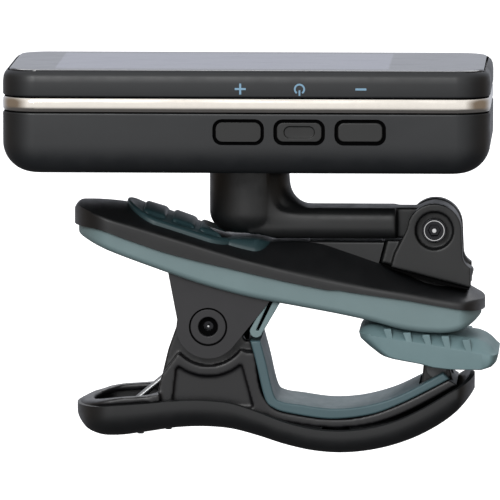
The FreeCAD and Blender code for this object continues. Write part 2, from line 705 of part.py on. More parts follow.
# ---------------------------------------------------------------- upper jaw
# x, bottom edge, top of the side wall, top of the crown
SHELL_LINE = [
    (-52.5, 15.3, 17.4, 18.4), (-48.0, 15.05, 17.0, 18.45), (-44.0, 13.7, 15.9, 18.1),
    (-39.0, 12.0, 14.4, 16.8), (-33.0, 10.4, 12.6, 14.7), (-29.0, 9.5, 11.4, 13.35),
    (-26.0, 8.8, 10.6, 12.8), (-20.0, 7.45, 9.1, 12.75), (-16.0, 6.65, 8.2, 12.55),
    (-12.0, 5.9, 7.4, 11.3), (-7.0, 5.15, 6.5, 9.6), (-3.0, 4.6, 5.85, 8.5),
    (1.0, 3.9, 5.1, 7.4), (5.5, 3.15, 4.4, 6.3), (8.8, 2.6, 3.8, 4.2),
]
# x, underside of the liner
LINER_LINE = [
    (-52.5, 14.4), (-49.9, 13.3), (-46.9, 12.0), (-39.7, 9.3), (-33.0, 7.0), (-25.8, 5.1),
    (-18.5, 3.75), (-12.6, 2.65), (-7.8, 1.6), (-3.9, 0.55), (0.5, 0.0), (3.4, 0.05),
    (6.1, 0.95), (8.8, 3.0),
]
PAD_OVAL = {"left": -39.5, "left_reach": 4.7, "right": -31.5, "right_reach": 8.8}
PAD_BARS = (-39.9, -35.7, -31.7)


def between(line, x, column):
    """Value of a station table at x, along straight runs."""
    for first, second in zip(line, line[1:]):
        if first[0] <= x <= second[0]:
            share = (x - first[0]) / (second[0] - first[0])
            return first[column] + share * (second[column] - first[column])
    raise ValueError("x lies outside the line")


def shell_outline(inset):
    return outline_prism(-46.2, 5.75 - inset, 4.6, 3.8 - inset, dim("clip_half") - inset)


def shell_crown(lift, inset=0.0, low=None):
    """The shell's arched body, raised or lowered as a whole."""
    half = dim("clip_half") - inset
    return loft([crown(x, half, (bottom if low is None else bottom + low), shoulder + lift,
                       crest + lift)
                 for x, bottom, shoulder, crest in SHELL_LINE])


def build_upper_shell():
    """Arched cover with a ridge that the folded arm lies over and a seat for the turret."""
    wall = dim("shell_wall")
    axis = turret_axis()
    base = turret_base()
    outer = shell_crown(0.0).common(shell_outline(0.0))
    clearance = Part.makeCylinder(dim("turret_sweep") + 0.4, 12.0, base - axis, axis)
    ridge = Part.makeBox(13.0, 2 * dim("ridge_half"), 4.0,
                         Vector(-17.6, -dim("ridge_half"), dim("bar_bottom") - 4.4))
    ridge = rounded(ridge, 0.5, lambda edge: edge.BoundBox.ZMax > 12.8)
    ridge = ridge.cut(clearance)
    seat = Part.makeCylinder(dim("turret_radius") + 0.1, 3.0, base - axis * (3.0 + dim("seat_gap")),
                             axis)
    outer = outer.fuse([ridge, seat])
    inner = shell_crown(-wall, wall, -1.0).common(shell_outline(wall))
    bore = Part.makeCylinder(dim("turret_spigot") + dim("fit"), 12, base - axis * 6, axis)
    room = Part.makeCylinder(4.4, 6.0, base - axis * 7.85, axis)
    above = Part.makeCylinder(dim("turret_sweep") + 0.4, 6.0, base - axis * dim("seat_gap"), axis)
    return outer.cut(inner).cut(room).cut(bore).cut(above)


def build_upper_jaw():
    shell = build_upper_shell().removeSplitter()
    feature("upper_shell", shell)

    xs = [station[0] for station in LINER_LINE]
    body = loft([slab(x, dim("liner_half"), between(LINER_LINE, x, 1),
                      between(SHELL_LINE, x, 1)) for x in xs])
    liner = body.common(shell_outline(dim("clip_half") - dim("liner_half"))).cut(shell)
    ears = both_sides(ear_outline(12.0), dim("ear_inner"), dim("ear_outer"))
    liner = liner.cut(ears).removeSplitter()
    feature("upper_liner", liner)

    plate_xs = (-46.0, -39.0, -33.0, -27.0, -20.0, -12.0, -6.5)
    deck = loft([slab(x, 8.1, between(SHELL_LINE, x, 1) + 0.02, between(SHELL_LINE, x, 1) + 1.2)
                 for x in plate_xs])
    bracket = deck.fuse(both_sides(ear_outline(0.6), dim("ear_inner"), dim("ear_outer")))
    bracket = bracket.cut(rod(dim("cap_radius"), -9, 9, PIVOT)).cut(shell).cut(liner)
    bracket = largest(bracket.removeSplitter())
    feature("upper_bracket", bracket)

    feature("finger_pad", build_finger_pad(shell))
    build_guard(bracket, liner)
    build_pivot()


def largest(shape):
    """The biggest solid of a shape, without the slivers that a cut leaves."""
    return max(shape.Solids, key=lambda solid: solid.Volume)


def build_finger_pad(shell):
    """Soft pad on the crown: a skin, three bars across it and a hump under the post."""
    oval = outline_prism(PAD_OVAL["left"], PAD_OVAL["left_reach"], PAD_OVAL["right"],
                         PAD_OVAL["right_reach"], dim("pad_half_width"))
    skin = shell_crown(dim("pad_skin")).common(oval)
    raised = shell_crown(dim("pad_bar"))
    length = dim("pad_bar_length")
    half = dim("pad_bar_half")
    bars = [raised.common(Part.makeBox(length, 2 * half, 20.0, Vector(x - length / 2, -half, 5.0)))
            for x in PAD_BARS]
    slope = plate([(-24.9, 13.3), (-22.0, 12.5), (-22.0, 14.0), (-24.9, 14.0)], -9.0, 9.0)
    hump = outline_prism(-28.4, 2.5, -25.6, 2.9, 6.4, 11.0, 13.3).cut(slope)
    free = dim("post_clearance")
    foot = dim("post_bottom") - free
    under_post = Part.makeCylinder(dim("post_radius") + free, 9.0, Vector(dim("head_x"), 0, foot))
    under_post = rounded(under_post, dim("post_round") + free, at_height(foot))
    sweep = []
    for angle in (-12.0, -6.0, 0.0, 6.0, 12.0):
        swung = under_post.copy()
        swung.rotate(Vector(dim("turret_x"), 0, dim("turret_z")), turret_axis(), angle)
        sweep.append(swung)
    under_bar = Part.makeBox(6.0, 20.0, 6.0, Vector(-23.9, -10.0, dim("bar_bottom") - 0.1))
    pad = skin.fuse(bars + [hump]).cut(sweep + [under_bar, shell_crown(0.0), shell])
    return largest(pad.removeSplitter())


def ear_outline(rise):
    """Bracket ear: two straight edges that run down to a round end on the pivot."""
    radius = dim("ear_round")
    low = (PIVOT[0] + radius * 0.76, PIVOT[1] - radius * 0.65)
    back = (PIVOT[0] - radius * 0.975, PIVOT[1] + radius * 0.22)
    return [
        (-38.6, between(SHELL_LINE, -38.6, 1) + rise), back,
        low + (PIVOT[0] - radius * 0.3, PIVOT[1] - radius * 0.954),
        (-23.0, 4.4), (-20.6, 6.9), (-20.6, between(SHELL_LINE, -20.6, 1) + rise),
    ]


def build_guard(bracket, liner):
    """Soft loop that hangs behind the throat and keeps things off the spring."""
    outer = [(-23.25, 4.9), (-25.75, 0.5), (-24.1, -0.3, -25.35, -0.85), (-20.9, 5.2)]
    inner = [(-22.55, 5.6), (-24.9, 0.35), (-24.6, 0.15, -24.85, 0.1), (-21.9, 5.6)]
    loop = plate(outer, -7.9, 7.9).cut(plate(inner, -9, 9))
    above = loft([slab(x, 12, between(LINER_LINE, x, 1), 20) for x in (-30.0, -25.8, -18.5, -15.0)])
    loop = loop.cut(above).cut(liner).cut(bracket)
    feature("throat_guard", largest(loop.removeSplitter()))


def build_pivot():
    """Two flush caps in the ears and the steel pin that they hold."""
    caps = []
    for side in (-1, 1):
        low = min(side * dim("ear_inner"), side * dim("ear_outer"))
        disc = rod(dim("cap_radius"), low, low + dim("ear_outer") - dim("ear_inner"), PIVOT)
        caps.append(disc.cut(rod(dim("pin_radius"), -9, 9, PIVOT)))
    feature("pivot_caps", Part.Compound(caps))
    place = Vector(PIVOT[0], -dim("ear_outer") + 0.9, PIVOT[1])
    shaft = cylinder("pin_shaft", "dims.pin_radius", "2 * dims.ear_outer - 1.8", place, ACROSS)
    near = hexagon("pin_socket_near", "1.5", "1.2", place, ACROSS)
    far_place = Vector(PIVOT[0], dim("ear_outer") - 2.1, PIVOT[1])
    far = hexagon("pin_socket_far", "1.5", "1.2", far_place, ACROSS)
    finish("pivot_pin", cut("pin_cut", shaft, fuse("pin_sockets", [near, far])))


# ---------------------------------------------------------------- lower jaw
# x, rim, underside
LOWER_LINE = [
    (-52.0, -11.2, -12.4), (-50.3, -11.1, -14.4), (-48.2, -11.0, -15.3), (-45.6, -10.8, -15.5),
    (-41.4, -10.5, -15.0), (-36.4, -10.05, -14.25), (-32.3, -10.0, -14.1), (-28.6, -10.4, -14.4),
    (-24.8, -11.6, -15.35), (-20.8, -13.1, -16.6), (-16.7, -14.1, -17.5), (-12.6, -14.4, -17.8),
    (-8.5, -14.0, -17.45), (-4.4, -12.9, -16.5), (-0.2, -10.9, -14.8), (3.8, -8.5, -12.2),
    (7.3, -6.6, -8.6),
]
LINER_INNER = [
    (-24.35, -1.4), (-23.5, -4.6), (-22.4, -9.2), (-21.3, -10.3), (-18.5, -10.75),
    (-14.1, -11.3), (-9.7, -11.0), (-5.3, -9.85), (-1.7, -8.2), (2.4, -6.0),
]
LINER_OUTER = [
    (-25.85, -1.4), (-25.0, -4.6), (-23.7, -9.9), (-22.3, -11.35), (-20.0, -12.05),
    (-14.1, -12.85), (-8.3, -12.2), (-3.9, -10.6), (0.5, -8.4), (3.3, -6.9),
]


def lower_outline(inset):
    return outline_prism(-46.2, 5.4 - inset, 4.3, 2.6 - inset, dim("clip_half") - inset)


def build_lower_shell():
    """Outer shell of the lower jaw: a long tub with a scooped handle."""
    wall = dim("lower_wall")
    outer = loft([tub(x, dim("clip_half"), rim, floor, 0.62 * (rim - floor))
                  for x, rim, floor in LOWER_LINE], True)
    inner = loft([tub(x, dim("clip_half") - wall, rim + 3, floor + wall,
                      0.55 * max(rim - floor - wall, 0.3)) for x, rim, floor in LOWER_LINE], True)
    shell = outer.common(lower_outline(0.0))
    shell = shell.cut(inner.common(lower_outline(wall)))
    for x, depth in frame_screw_places():
        shell = shell.cut(Part.makeCylinder(1.3, 8, Vector(x, 0, depth - 2)))
        shell = shell.cut(Part.makeCylinder(2.3, 3, Vector(x, 0, depth - 2.4)))
    nubs = [Part.makeCylinder(0.5, 9.0, Vector(x, -4.5, between(LOWER_LINE, x, 2) + 0.25), ACROSS)
            for x in (-42.1, -38.0)]
    return shell.fuse(nubs)


def frame_screw_places():
    """The two screws that hold the frame in the shell, as x and the shell's underside."""
    return [(x, between(LOWER_LINE, x, 2)) for x in (-29.5, -13.5)]


def build_lower_frame():
    """Yoke, spine and tip lugs of the lower jaw, with the rim round the handle's hollow."""
    arch = dim("yoke_arch")
    side = [
        (-37.4, -4.6), (PIVOT[0] - arch * 0.75, PIVOT[1] - arch * 0.66),
        (PIVOT[0] + arch * 0.82, PIVOT[1] - arch * 0.573, PIVOT[0], PIVOT[1] - arch),
        (-26.45, -3.1), (-24.35, -10.0), (-23.9, -12.5), (-39.4, -12.5), (-39.5, -9.6),
        (-38.8, -6.4),
    ]
    cheeks = both_sides(side, dim("lug_outer") + 0.4, dim("ear_outer"))
    panel = [
        (-37.6, -13.0), (-36.75, -5.6), (PIVOT[0] - 4.4, PIVOT[1] - 5.75),
        (PIVOT[0] + 4.4, PIVOT[1] - 5.75, PIVOT[0], PIVOT[1] - 7.25), (-27.1, -4.75),
        (-25.5, -10.6), (-25.2, -13.0),
    ]
    cheeks = cheeks.cut(both_sides(panel, dim("ear_outer") - dim("panel_deep"), 9.0))
    radius = dim("lug_round")
    lug = [
        (PIVOT[0] - radius, PIVOT[1]), (-38.0, -3.0), (-38.8, -6.4), (-38.8, -12.5),
        (-25.2, -12.5), (-25.9, -5.0), (PIVOT[0] + radius, PIVOT[1]),
        (PIVOT[0] - radius, PIVOT[1], PIVOT[0], PIVOT[1] + radius),
    ]
    lugs = both_sides(lug, dim("lug_inner"), dim("lug_outer"))
    wall = plate([(-39.0, -12.5), (-24.0, -12.5), (-24.0, -11.3), (-39.0, -11.3)], -8.0, 8.0)
    link = both_sides(side[4:9] + [(-37.6, -7.6), (-26.0, -7.6)], dim("lug_outer"),
                      dim("lug_outer") + 0.5)
    spine_top = [(x - 0.05, z - 0.1) for x, z in LINER_OUTER]
    spine_low = [
        (-27.2, -1.7), (-26.6, -5.0), (-25.2, -10.4), (-23.2, -12.6), (-20.3, -13.4),
        (-14.1, -14.1), (-8.0, -13.5), (-3.4, -11.9), (1.1, -9.6), (4.4, -7.7),
    ]
    spine = wide(band(spine_top, spine_low), 8.0)
    for low, high in ((-9.0, -dim("lug_outer")), (dim("lug_outer"), 9.0)):
        spine = spine.cut(Part.makeBox(10, high - low, 10, Vector(-32, low, -3.1)))
    spine = spine.cut(rod(6.0, -3.9, 3.9, PIVOT))
    round_tip = dim("tip_lug_round")
    tip = [
        (PAD_PIN[0] - round_tip, PAD_PIN[1]), (PAD_PIN[0] - round_tip - 0.3, -9.2),
        (3.9, -7.9), (PAD_PIN[0] + round_tip, PAD_PIN[1]),
        (PAD_PIN[0] - round_tip, PAD_PIN[1], PAD_PIN[0], PAD_PIN[1] + round_tip),
    ]
    tips = both_sides(tip, dim("tip_lug_inner"), dim("tip_lug_outer"))
    collar = loft([slab(x, dim("clip_half"), rim + 0.03, rim + 1.1)
                   for x, rim, floor in LOWER_LINE[:8]], True)
    collar = collar.common(outline_prism(-46.2, 5.1, -31.0, 2.0, dim("clip_half") - 0.3))
    hollow = outline_prism(-45.0, 4.0, -41.5, 2.6, 7.7)
    collar = collar.cut(hollow).cut(Part.makeBox(12, 30, 8, Vector(-39.0, -15, -14)))
    posts = [Part.makeCylinder(2.1, 3.4, Vector(x, 0, depth + 1.35)) for x, depth in
             frame_screw_places()]
    frame = cheeks.fuse([lugs, wall, link, spine, tips, collar] + posts)
    frame = frame.cut(rod(dim("pin_radius") + dim("fit"), -9, 9, PIVOT))
    frame = frame.cut(rod(dim("pad_pin_radius"), -9, 9, PAD_PIN))
    for x, depth in frame_screw_places():
        frame = frame.cut(Part.makeCylinder(0.9, 4.4, Vector(x, 0, depth + 1.0)))
    return frame.removeSplitter()


def build_spring():
    """Torsion spring on the pivot: a coil with one leg for each handle."""
    radius = dim("coil_radius")
    pitch = dim("coil_pitch")
    length = pitch * dim("coil_turns")
    half_wire = dim("wire") / 2
    slope = Vector(0, 1, pitch / (2 * math.pi * radius))
    section = Part.Wire([Part.makeCircle(half_wire, Vector(radius, 0, 0), slope)])
    helix = Part.Wire(Part.makeHelix(pitch, length, radius))
    coil = helix.makePipeShell([section], True, True)
    # the coil starts where the lower leg leaves it as a tangent, and runs anticlockwise
    start = math.radians(-50.0)
    end = start + 2 * math.pi * dim("coil_turns")
    coil.rotate(Vector(0, 0, 0), Vector(1, 0, 0), 90)
    coil.translate(Vector(0, length / 2, 0))
    coil.rotate(Vector(0, 0, 0), ACROSS, -math.degrees(start))
    coil.translate(Vector(PIVOT[0], 0, PIVOT[1]))
    pieces = [coil]
    for angle, y, sense, reach in ((start, length / 2, -1, 19.3), (end, -length / 2, 1, 7.2)):
        foot = coil_end(angle, y)
        pieces.append(Part.makeCylinder(half_wire, reach, foot, leg_direction(angle, sense)))
        pieces.append(Part.makeSphere(half_wire, foot))
    feature("torsion_spring", pieces[0].fuse(pieces[1:]))


def coil_end(angle, y):
    radius = dim("coil_radius")
    return Vector(PIVOT[0] + radius * math.cos(angle), y, PIVOT[1] + radius * math.sin(angle))


def leg_direction(angle, sense):
    """Tangent to the coil at an angle, one way or the other."""
    return Vector(-math.sin(angle) * sense, 0, math.cos(angle) * sense)


def build_lower_jaw():
    feature("lower_shell", build_lower_shell().removeSplitter())
    feature("lower_frame", build_lower_frame())
    liner = wide(band(LINER_INNER, LINER_OUTER), 8.0)
    liner = liner.cut(Part.makeBox(8, 11.2, 8, Vector(-1.2, -5.6, -11)))
    feature("lower_liner", liner)
    screws = []
    for x, depth in frame_screw_places():
        head = Part.makeCylinder(2.1, 0.42, Vector(x, 0, depth + 0.15))
        shank = Part.makeCylinder(0.9, 3.7, Vector(x, 0, depth + 0.5))
        slot = Part.makeBox(2.8, 0.5, 0.4, Vector(x - 1.4, -0.25, depth + 0.1))
        screws.append(head.fuse(shank).cut(slot))
    feature("frame_screws", Part.Compound(screws))
    build_spring()


# ---------------------------------------------------------------- jaw pad
def build_jaw_pad():
    """Soft pad on a rocking carrier at the tip of the lower jaw."""
    top = [(x, z - 0.18) for x, z in LINER_LINE if -8.0 < x < 5.0]
    outline = [(-10.0, -0.2), (-9.1, 1.05, -9.75, 0.55)] + top + [
        (6.0, 0.4), (7.7, 0.55), (10.5, -3.2, 9.9, -0.85), (8.4, -5.4, 9.95, -4.9), (3.6, -5.35),
        (0.6, -5.05), (-1.2, -4.6), (-6.7, -3.6),
    ]
    block = plate(outline, -dim("pad_half"), dim("pad_half"))
    carrier_low = -3.15
    carrier_high = -2.35
    socket = Part.makeBox(9.8, 11.2, 8.0, Vector(-3.6, -5.6, carrier_low - 8.0))
    tray = Part.makeBox(12.4, 13.2, carrier_high - carrier_low, Vector(-4.9, -6.6, carrier_low))
    feature("jaw_pad", block.cut(socket).cut(tray).removeSplitter())
    half = dim("tip_lug_inner") - 0.2
    tongue = rod(1.7, -half, half, PAD_PIN)
    neck = Part.makeBox(3.0, 2 * half, carrier_low - PAD_PIN[1] + 0.2,
                        Vector(PAD_PIN[0] - 1.5, -half, PAD_PIN[1]))
    carrier = tray.fuse([tongue, neck]).cut(rod(dim("pad_pin_radius") + dim("fit"), -9, 9, PAD_PIN))
    feature("pad_carrier", carrier.removeSplitter())
    outer = dim("tip_lug_outer")
    shaft = rod(dim("pad_pin_radius"), -outer - 0.05, outer + 0.05, PAD_PIN)
    heads = [rod(1.5, -outer - 0.5, -outer - 0.02, PAD_PIN), rod(1.5, outer + 0.02, outer + 0.5, PAD_PIN)]
    feature("pad_pin", shaft.fuse(heads).removeSplitter())


build_display()
build_rear_case()
build_buttons()
build_battery()
build_case_screws()
build_arm()
build_turret()
build_upper_jaw()
build_lower_jaw()
build_jaw_pad()
doc.recompute()

for item in doc.Objects:
    if "Invalid" in item.State or "Error" in item.State:
        raise ValueError(item.Name + " did not recompute")
for node, item in NODES.items():
    if item.Shape.isNull() or not item.Shape.isValid():
        raise ValueError(node + " has no valid shape")

os.makedirs("parts", exist_ok=True)
for node, item in NODES.items():
    item.Shape.exportStep("parts/%s.step" % node)
    print(node, round(item.Shape.Volume, 1), len(item.Shape.Solids))
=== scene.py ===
"""Looks of the clip-on tuner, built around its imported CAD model.

Shapes are worked out in millimetres and turned into metres when a mesh is made.
+X runs from the handles to the nose of the clip, -Y is the buttons' side, +Z is up.
"""

import json
import math

import bmesh
import bpy
import numpy as np
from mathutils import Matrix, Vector


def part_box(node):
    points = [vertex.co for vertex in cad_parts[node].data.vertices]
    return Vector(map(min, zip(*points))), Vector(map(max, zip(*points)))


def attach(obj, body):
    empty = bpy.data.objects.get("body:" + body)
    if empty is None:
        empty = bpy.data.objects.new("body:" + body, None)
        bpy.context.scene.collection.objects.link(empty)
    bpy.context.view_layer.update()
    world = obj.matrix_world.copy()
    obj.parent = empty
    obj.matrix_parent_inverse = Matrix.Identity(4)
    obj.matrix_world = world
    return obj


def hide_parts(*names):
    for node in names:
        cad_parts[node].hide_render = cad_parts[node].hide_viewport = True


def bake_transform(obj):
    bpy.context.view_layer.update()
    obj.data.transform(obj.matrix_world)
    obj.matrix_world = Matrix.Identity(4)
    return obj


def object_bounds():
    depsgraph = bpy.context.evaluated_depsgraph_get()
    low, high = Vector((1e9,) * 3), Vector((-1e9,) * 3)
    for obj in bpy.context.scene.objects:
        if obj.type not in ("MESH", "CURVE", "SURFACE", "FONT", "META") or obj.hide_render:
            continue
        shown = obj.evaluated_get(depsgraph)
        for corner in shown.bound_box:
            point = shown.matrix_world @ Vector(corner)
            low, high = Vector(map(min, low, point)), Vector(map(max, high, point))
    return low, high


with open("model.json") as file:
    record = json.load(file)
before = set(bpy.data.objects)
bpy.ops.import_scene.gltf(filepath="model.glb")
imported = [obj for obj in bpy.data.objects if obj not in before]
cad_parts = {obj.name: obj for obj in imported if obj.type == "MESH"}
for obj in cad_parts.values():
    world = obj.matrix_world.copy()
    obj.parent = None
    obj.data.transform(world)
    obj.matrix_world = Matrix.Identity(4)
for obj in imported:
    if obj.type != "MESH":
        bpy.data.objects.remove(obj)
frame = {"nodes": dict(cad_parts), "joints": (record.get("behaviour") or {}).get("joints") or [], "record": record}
CAD_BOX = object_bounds()
NODES = frame["nodes"]
MM = 0.001


def box_mm(node):
    """Lowest and highest corner of a CAD node, in millimetres."""
    low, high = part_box(node)
    return low / MM, high / MM


def joint_mm(name):
    """Place of a hinge's axis, in millimetres."""
    for joint in frame["joints"]:
        if joint["name"] == name:
            return Vector(joint["pos_m"]) / MM
    raise KeyError(name)


PIVOT = joint_mm("jaw_open")
HINGE = joint_mm("arm_tilt")
TURRET = joint_mm("turret_swivel")
POST_X = joint_mm("head_swivel").x
TURRET_TILT = math.radians(14.5)
TURRET_AXIS = (math.sin(TURRET_TILT), 0, math.cos(TURRET_TILT))
KEYS = ("button_plus", "button_power", "button_minus")


# ---------------------------------------------------------------- materials
def shader(name):
    """New material with its node tree and its Principled shader."""
    material = bpy.data.materials.new(name)
    material.use_nodes = True
    tree = material.node_tree
    return material, tree, tree.nodes["Principled BSDF"]


def noise(tree, scale, detail=3.0, roughness=0.55, stretch=(1, 1, 1)):
    """Noise in the object's own coordinates; scale is in cells per metre."""
    place = tree.nodes.new("ShaderNodeTexCoord")
    mapping = tree.nodes.new("ShaderNodeMapping")
    mapping.inputs["Scale"].default_value = stretch
    texture = tree.nodes.new("ShaderNodeTexNoise")
    texture.inputs["Scale"].default_value = scale
    texture.inputs["Detail"].default_value = detail
    texture.inputs["Roughness"].default_value = roughness
    tree.links.new(place.outputs["Object"], mapping.inputs["Vector"])
    tree.links.new(mapping.outputs["Vector"], texture.inputs["Vector"])
    return texture.outputs["Fac"]


def spread(tree, value, low, high, from_low=0.3, from_high=0.7):
    """Map a noise value onto a range."""
    node = tree.nodes.new("ShaderNodeMapRange")
    node.inputs["From Min"].default_value = from_low
    node.inputs["From Max"].default_value = from_high
    node.inputs["To Min"].default_value = low
    node.inputs["To Max"].default_value = high
    tree.links.new(value, node.inputs["Value"])
    return node.outputs["Result"]


def mixed(tree, factor, first, second):
    """Mix two colours by a factor socket."""
    node = tree.nodes.new("ShaderNodeMix")
    node.data_type = "RGBA"
    tree.links.new(factor, node.inputs["Factor"])
    for socket, colour in ((node.inputs["A"], first), (node.inputs["B"], second)):
        if isinstance(colour, tuple):
            socket.default_value = (*colour, 1.0)
        else:
            tree.links.new(colour, socket)
    return node.outputs["Result"]


def worn_edges(tree, width):
    """Mask of the sharpest edges, broken up by noise."""
    bevel = tree.nodes.new("ShaderNodeBevel")
    bevel.samples = 4
    bevel.inputs["Radius"].default_value = width
    geometry = tree.nodes.new("ShaderNodeNewGeometry")
    dot = tree.nodes.new("ShaderNodeVectorMath")
    dot.operation = "DOT_PRODUCT"
    tree.links.new(bevel.outputs["Normal"], dot.inputs[0])
    tree.links.new(geometry.outputs["Normal"], dot.inputs[1])
    edge = spread(tree, dot.outputs["Value"], 1.0, 0.0, 0.80, 0.97)
    patch = spread(tree, noise(tree, 900.0), 0.0, 1.0, 0.42, 0.62)
    both = tree.nodes.new("ShaderNodeMath")
    both.operation = "MULTIPLY"
    tree.links.new(edge, both.inputs[0])
    tree.links.new(patch, both.inputs[1])
    return both.outputs["Value"]


def relief(tree, principled, layers):
    """Chain of bumps; each layer is a height socket, a strength and a depth in metres."""
    normal = None
    for height, strength, depth in layers:
        bump = tree.nodes.new("ShaderNodeBump")
        bump.inputs["Strength"].default_value = strength
        bump.inputs["Distance"].default_value = depth
        tree.links.new(height, bump.inputs["Height"])
        if normal is not None:
            tree.links.new(normal, bump.inputs["Normal"])
        normal = bump.outputs["Normal"]
    tree.links.new(normal, principled.inputs["Normal"])


def moulded(name, colour, rough, grain=5200.0, grain_depth=4e-6, shade=0.82, wear=0.0,
            specular=0.5):
    """Moulded plastic or rubber: fine spark-eroded grain, handling marks and rubbed edges."""
    material, tree, principled = shader(name)
    principled.inputs["Specular IOR Level"].default_value = specular
    principled.inputs["Coat Roughness"].default_value = 0.25
    cloud = spread(tree, noise(tree, 140.0, 4.0), 0.0, 1.0)
    darker = tuple(channel * shade for channel in colour)
    base = mixed(tree, cloud, darker, colour)
    if wear:
        rubbed = tuple(min(1.0, channel * 1.6 + 0.03) for channel in colour)
        edge = worn_edges(tree, 0.00025)
        scaled = tree.nodes.new("ShaderNodeMath")
        scaled.operation = "MULTIPLY"
        scaled.inputs[1].default_value = wear
        tree.links.new(edge, scaled.inputs[0])
        base = mixed(tree, scaled.outputs["Value"], base, rubbed)
    tree.links.new(base, principled.inputs["Base Color"])
    smear = noise(tree, 420.0, 5.0, 0.65, (1, 0.35, 1))
    tree.links.new(spread(tree, smear, rough - 0.06, rough + 0.08), principled.inputs["Roughness"])
    relief(tree, principled, [(noise(tree, grain, 2.0), 0.35, grain_depth),
                              (noise(tree, 260.0, 2.0), 0.15, 2.0 * grain_depth)])
    return material


def metal(name, colour, rough, stretch=(1, 1, 1), tarnish=0.8):
    """Metal with drawn or turned marks and a little tarnish."""
    material, tree, principled = shader(name)
    principled.inputs["Metallic"].default_value = 1.0
    cloud = spread(tree, noise(tree, 700.0, 4.0), 0.0, 1.0)
    dull = tuple(channel * tarnish for channel in colour)
    tree.links.new(mixed(tree, cloud, dull, colour), principled.inputs["Base Color"])
    marks = noise(tree, 2600.0, 3.0, 0.6, stretch)
    tree.links.new(spread(tree, marks, rough * 0.75, rough * 1.35), principled.inputs["Roughness"])
    relief(tree, principled, [(marks, 0.2, 3e-6)])
    return material


def above(tree, value, limit):
    """1 where a value is over a limit, else 0."""
    node = tree.nodes.new("ShaderNodeMath")
    node.operation = "GREATER_THAN"
    node.inputs[1].default_value = limit
    tree.links.new(value, node.inputs[0])
    return node.outputs["Value"]


def times(tree, first, second):
    """Product of two sockets."""
    node = tree.nodes.new("ShaderNodeMath")
    node.operation = "MULTIPLY"
    tree.links.new(first, node.inputs[0])
    tree.links.new(second, node.inputs[1])
    return node.outputs["Value"]


# the lit screen under the glass, in metres
SCREEN_LEFT = -0.054
SCREEN_RIGHT = -0.0055
SCREEN_HALF = 0.0135


def display_material():
    """Smooth window with a grey border round a blank, lighter screen."""
    material, tree, principled = shader("display_glass")
    place = tree.nodes.new("ShaderNodeTexCoord")
    axes = tree.nodes.new("ShaderNodeSeparateXYZ")
    tree.links.new(place.outputs["Object"], axes.inputs["Vector"])
    turned = tree.nodes.new("ShaderNodeMath")
    turned.operation = "ABSOLUTE"
    tree.links.new(axes.outputs["Y"], turned.inputs[0])
    over = spread(tree, above(tree, turned.outputs["Value"], SCREEN_HALF), 1.0, 0.0, 0.0, 1.0)
    right = spread(tree, above(tree, axes.outputs["X"], SCREEN_RIGHT), 1.0, 0.0, 0.0, 1.0)
    left = above(tree, axes.outputs["X"], SCREEN_LEFT)
    screen = times(tree, times(tree, left, right), over)
    film = spread(tree, noise(tree, 60.0, 5.0, 0.6), 0.0, 1.0, 0.35, 0.7)
    border = mixed(tree, film, (0.012, 0.013, 0.016), (0.020, 0.021, 0.026))
    tree.links.new(mixed(tree, screen, border, (0.150, 0.155, 0.205)),
                   principled.inputs["Base Color"])
    tree.links.new(spread(tree, noise(tree, 240.0, 4.0), 0.06, 0.14),
                   principled.inputs["Roughness"])
    return material


def board_material():
    """Green solder mask with a faint weave."""
    material, tree, principled = shader("board")
    weave = tree.nodes.new("ShaderNodeTexBrick")
    weave.inputs["Scale"].default_value = 900.0
    weave.inputs["Color1"].default_value = (0.015, 0.12, 0.05, 1)
    weave.inputs["Color2"].default_value = (0.02, 0.15, 0.06, 1)
    weave.inputs["Mortar"].default_value = (0.01, 0.09, 0.04, 1)
    tree.links.new(weave.outputs["Color"], principled.inputs["Base Color"])
    tree.links.new(spread(tree, noise(tree, 800.0), 0.3, 0.45), principled.inputs["Roughness"])
    return material


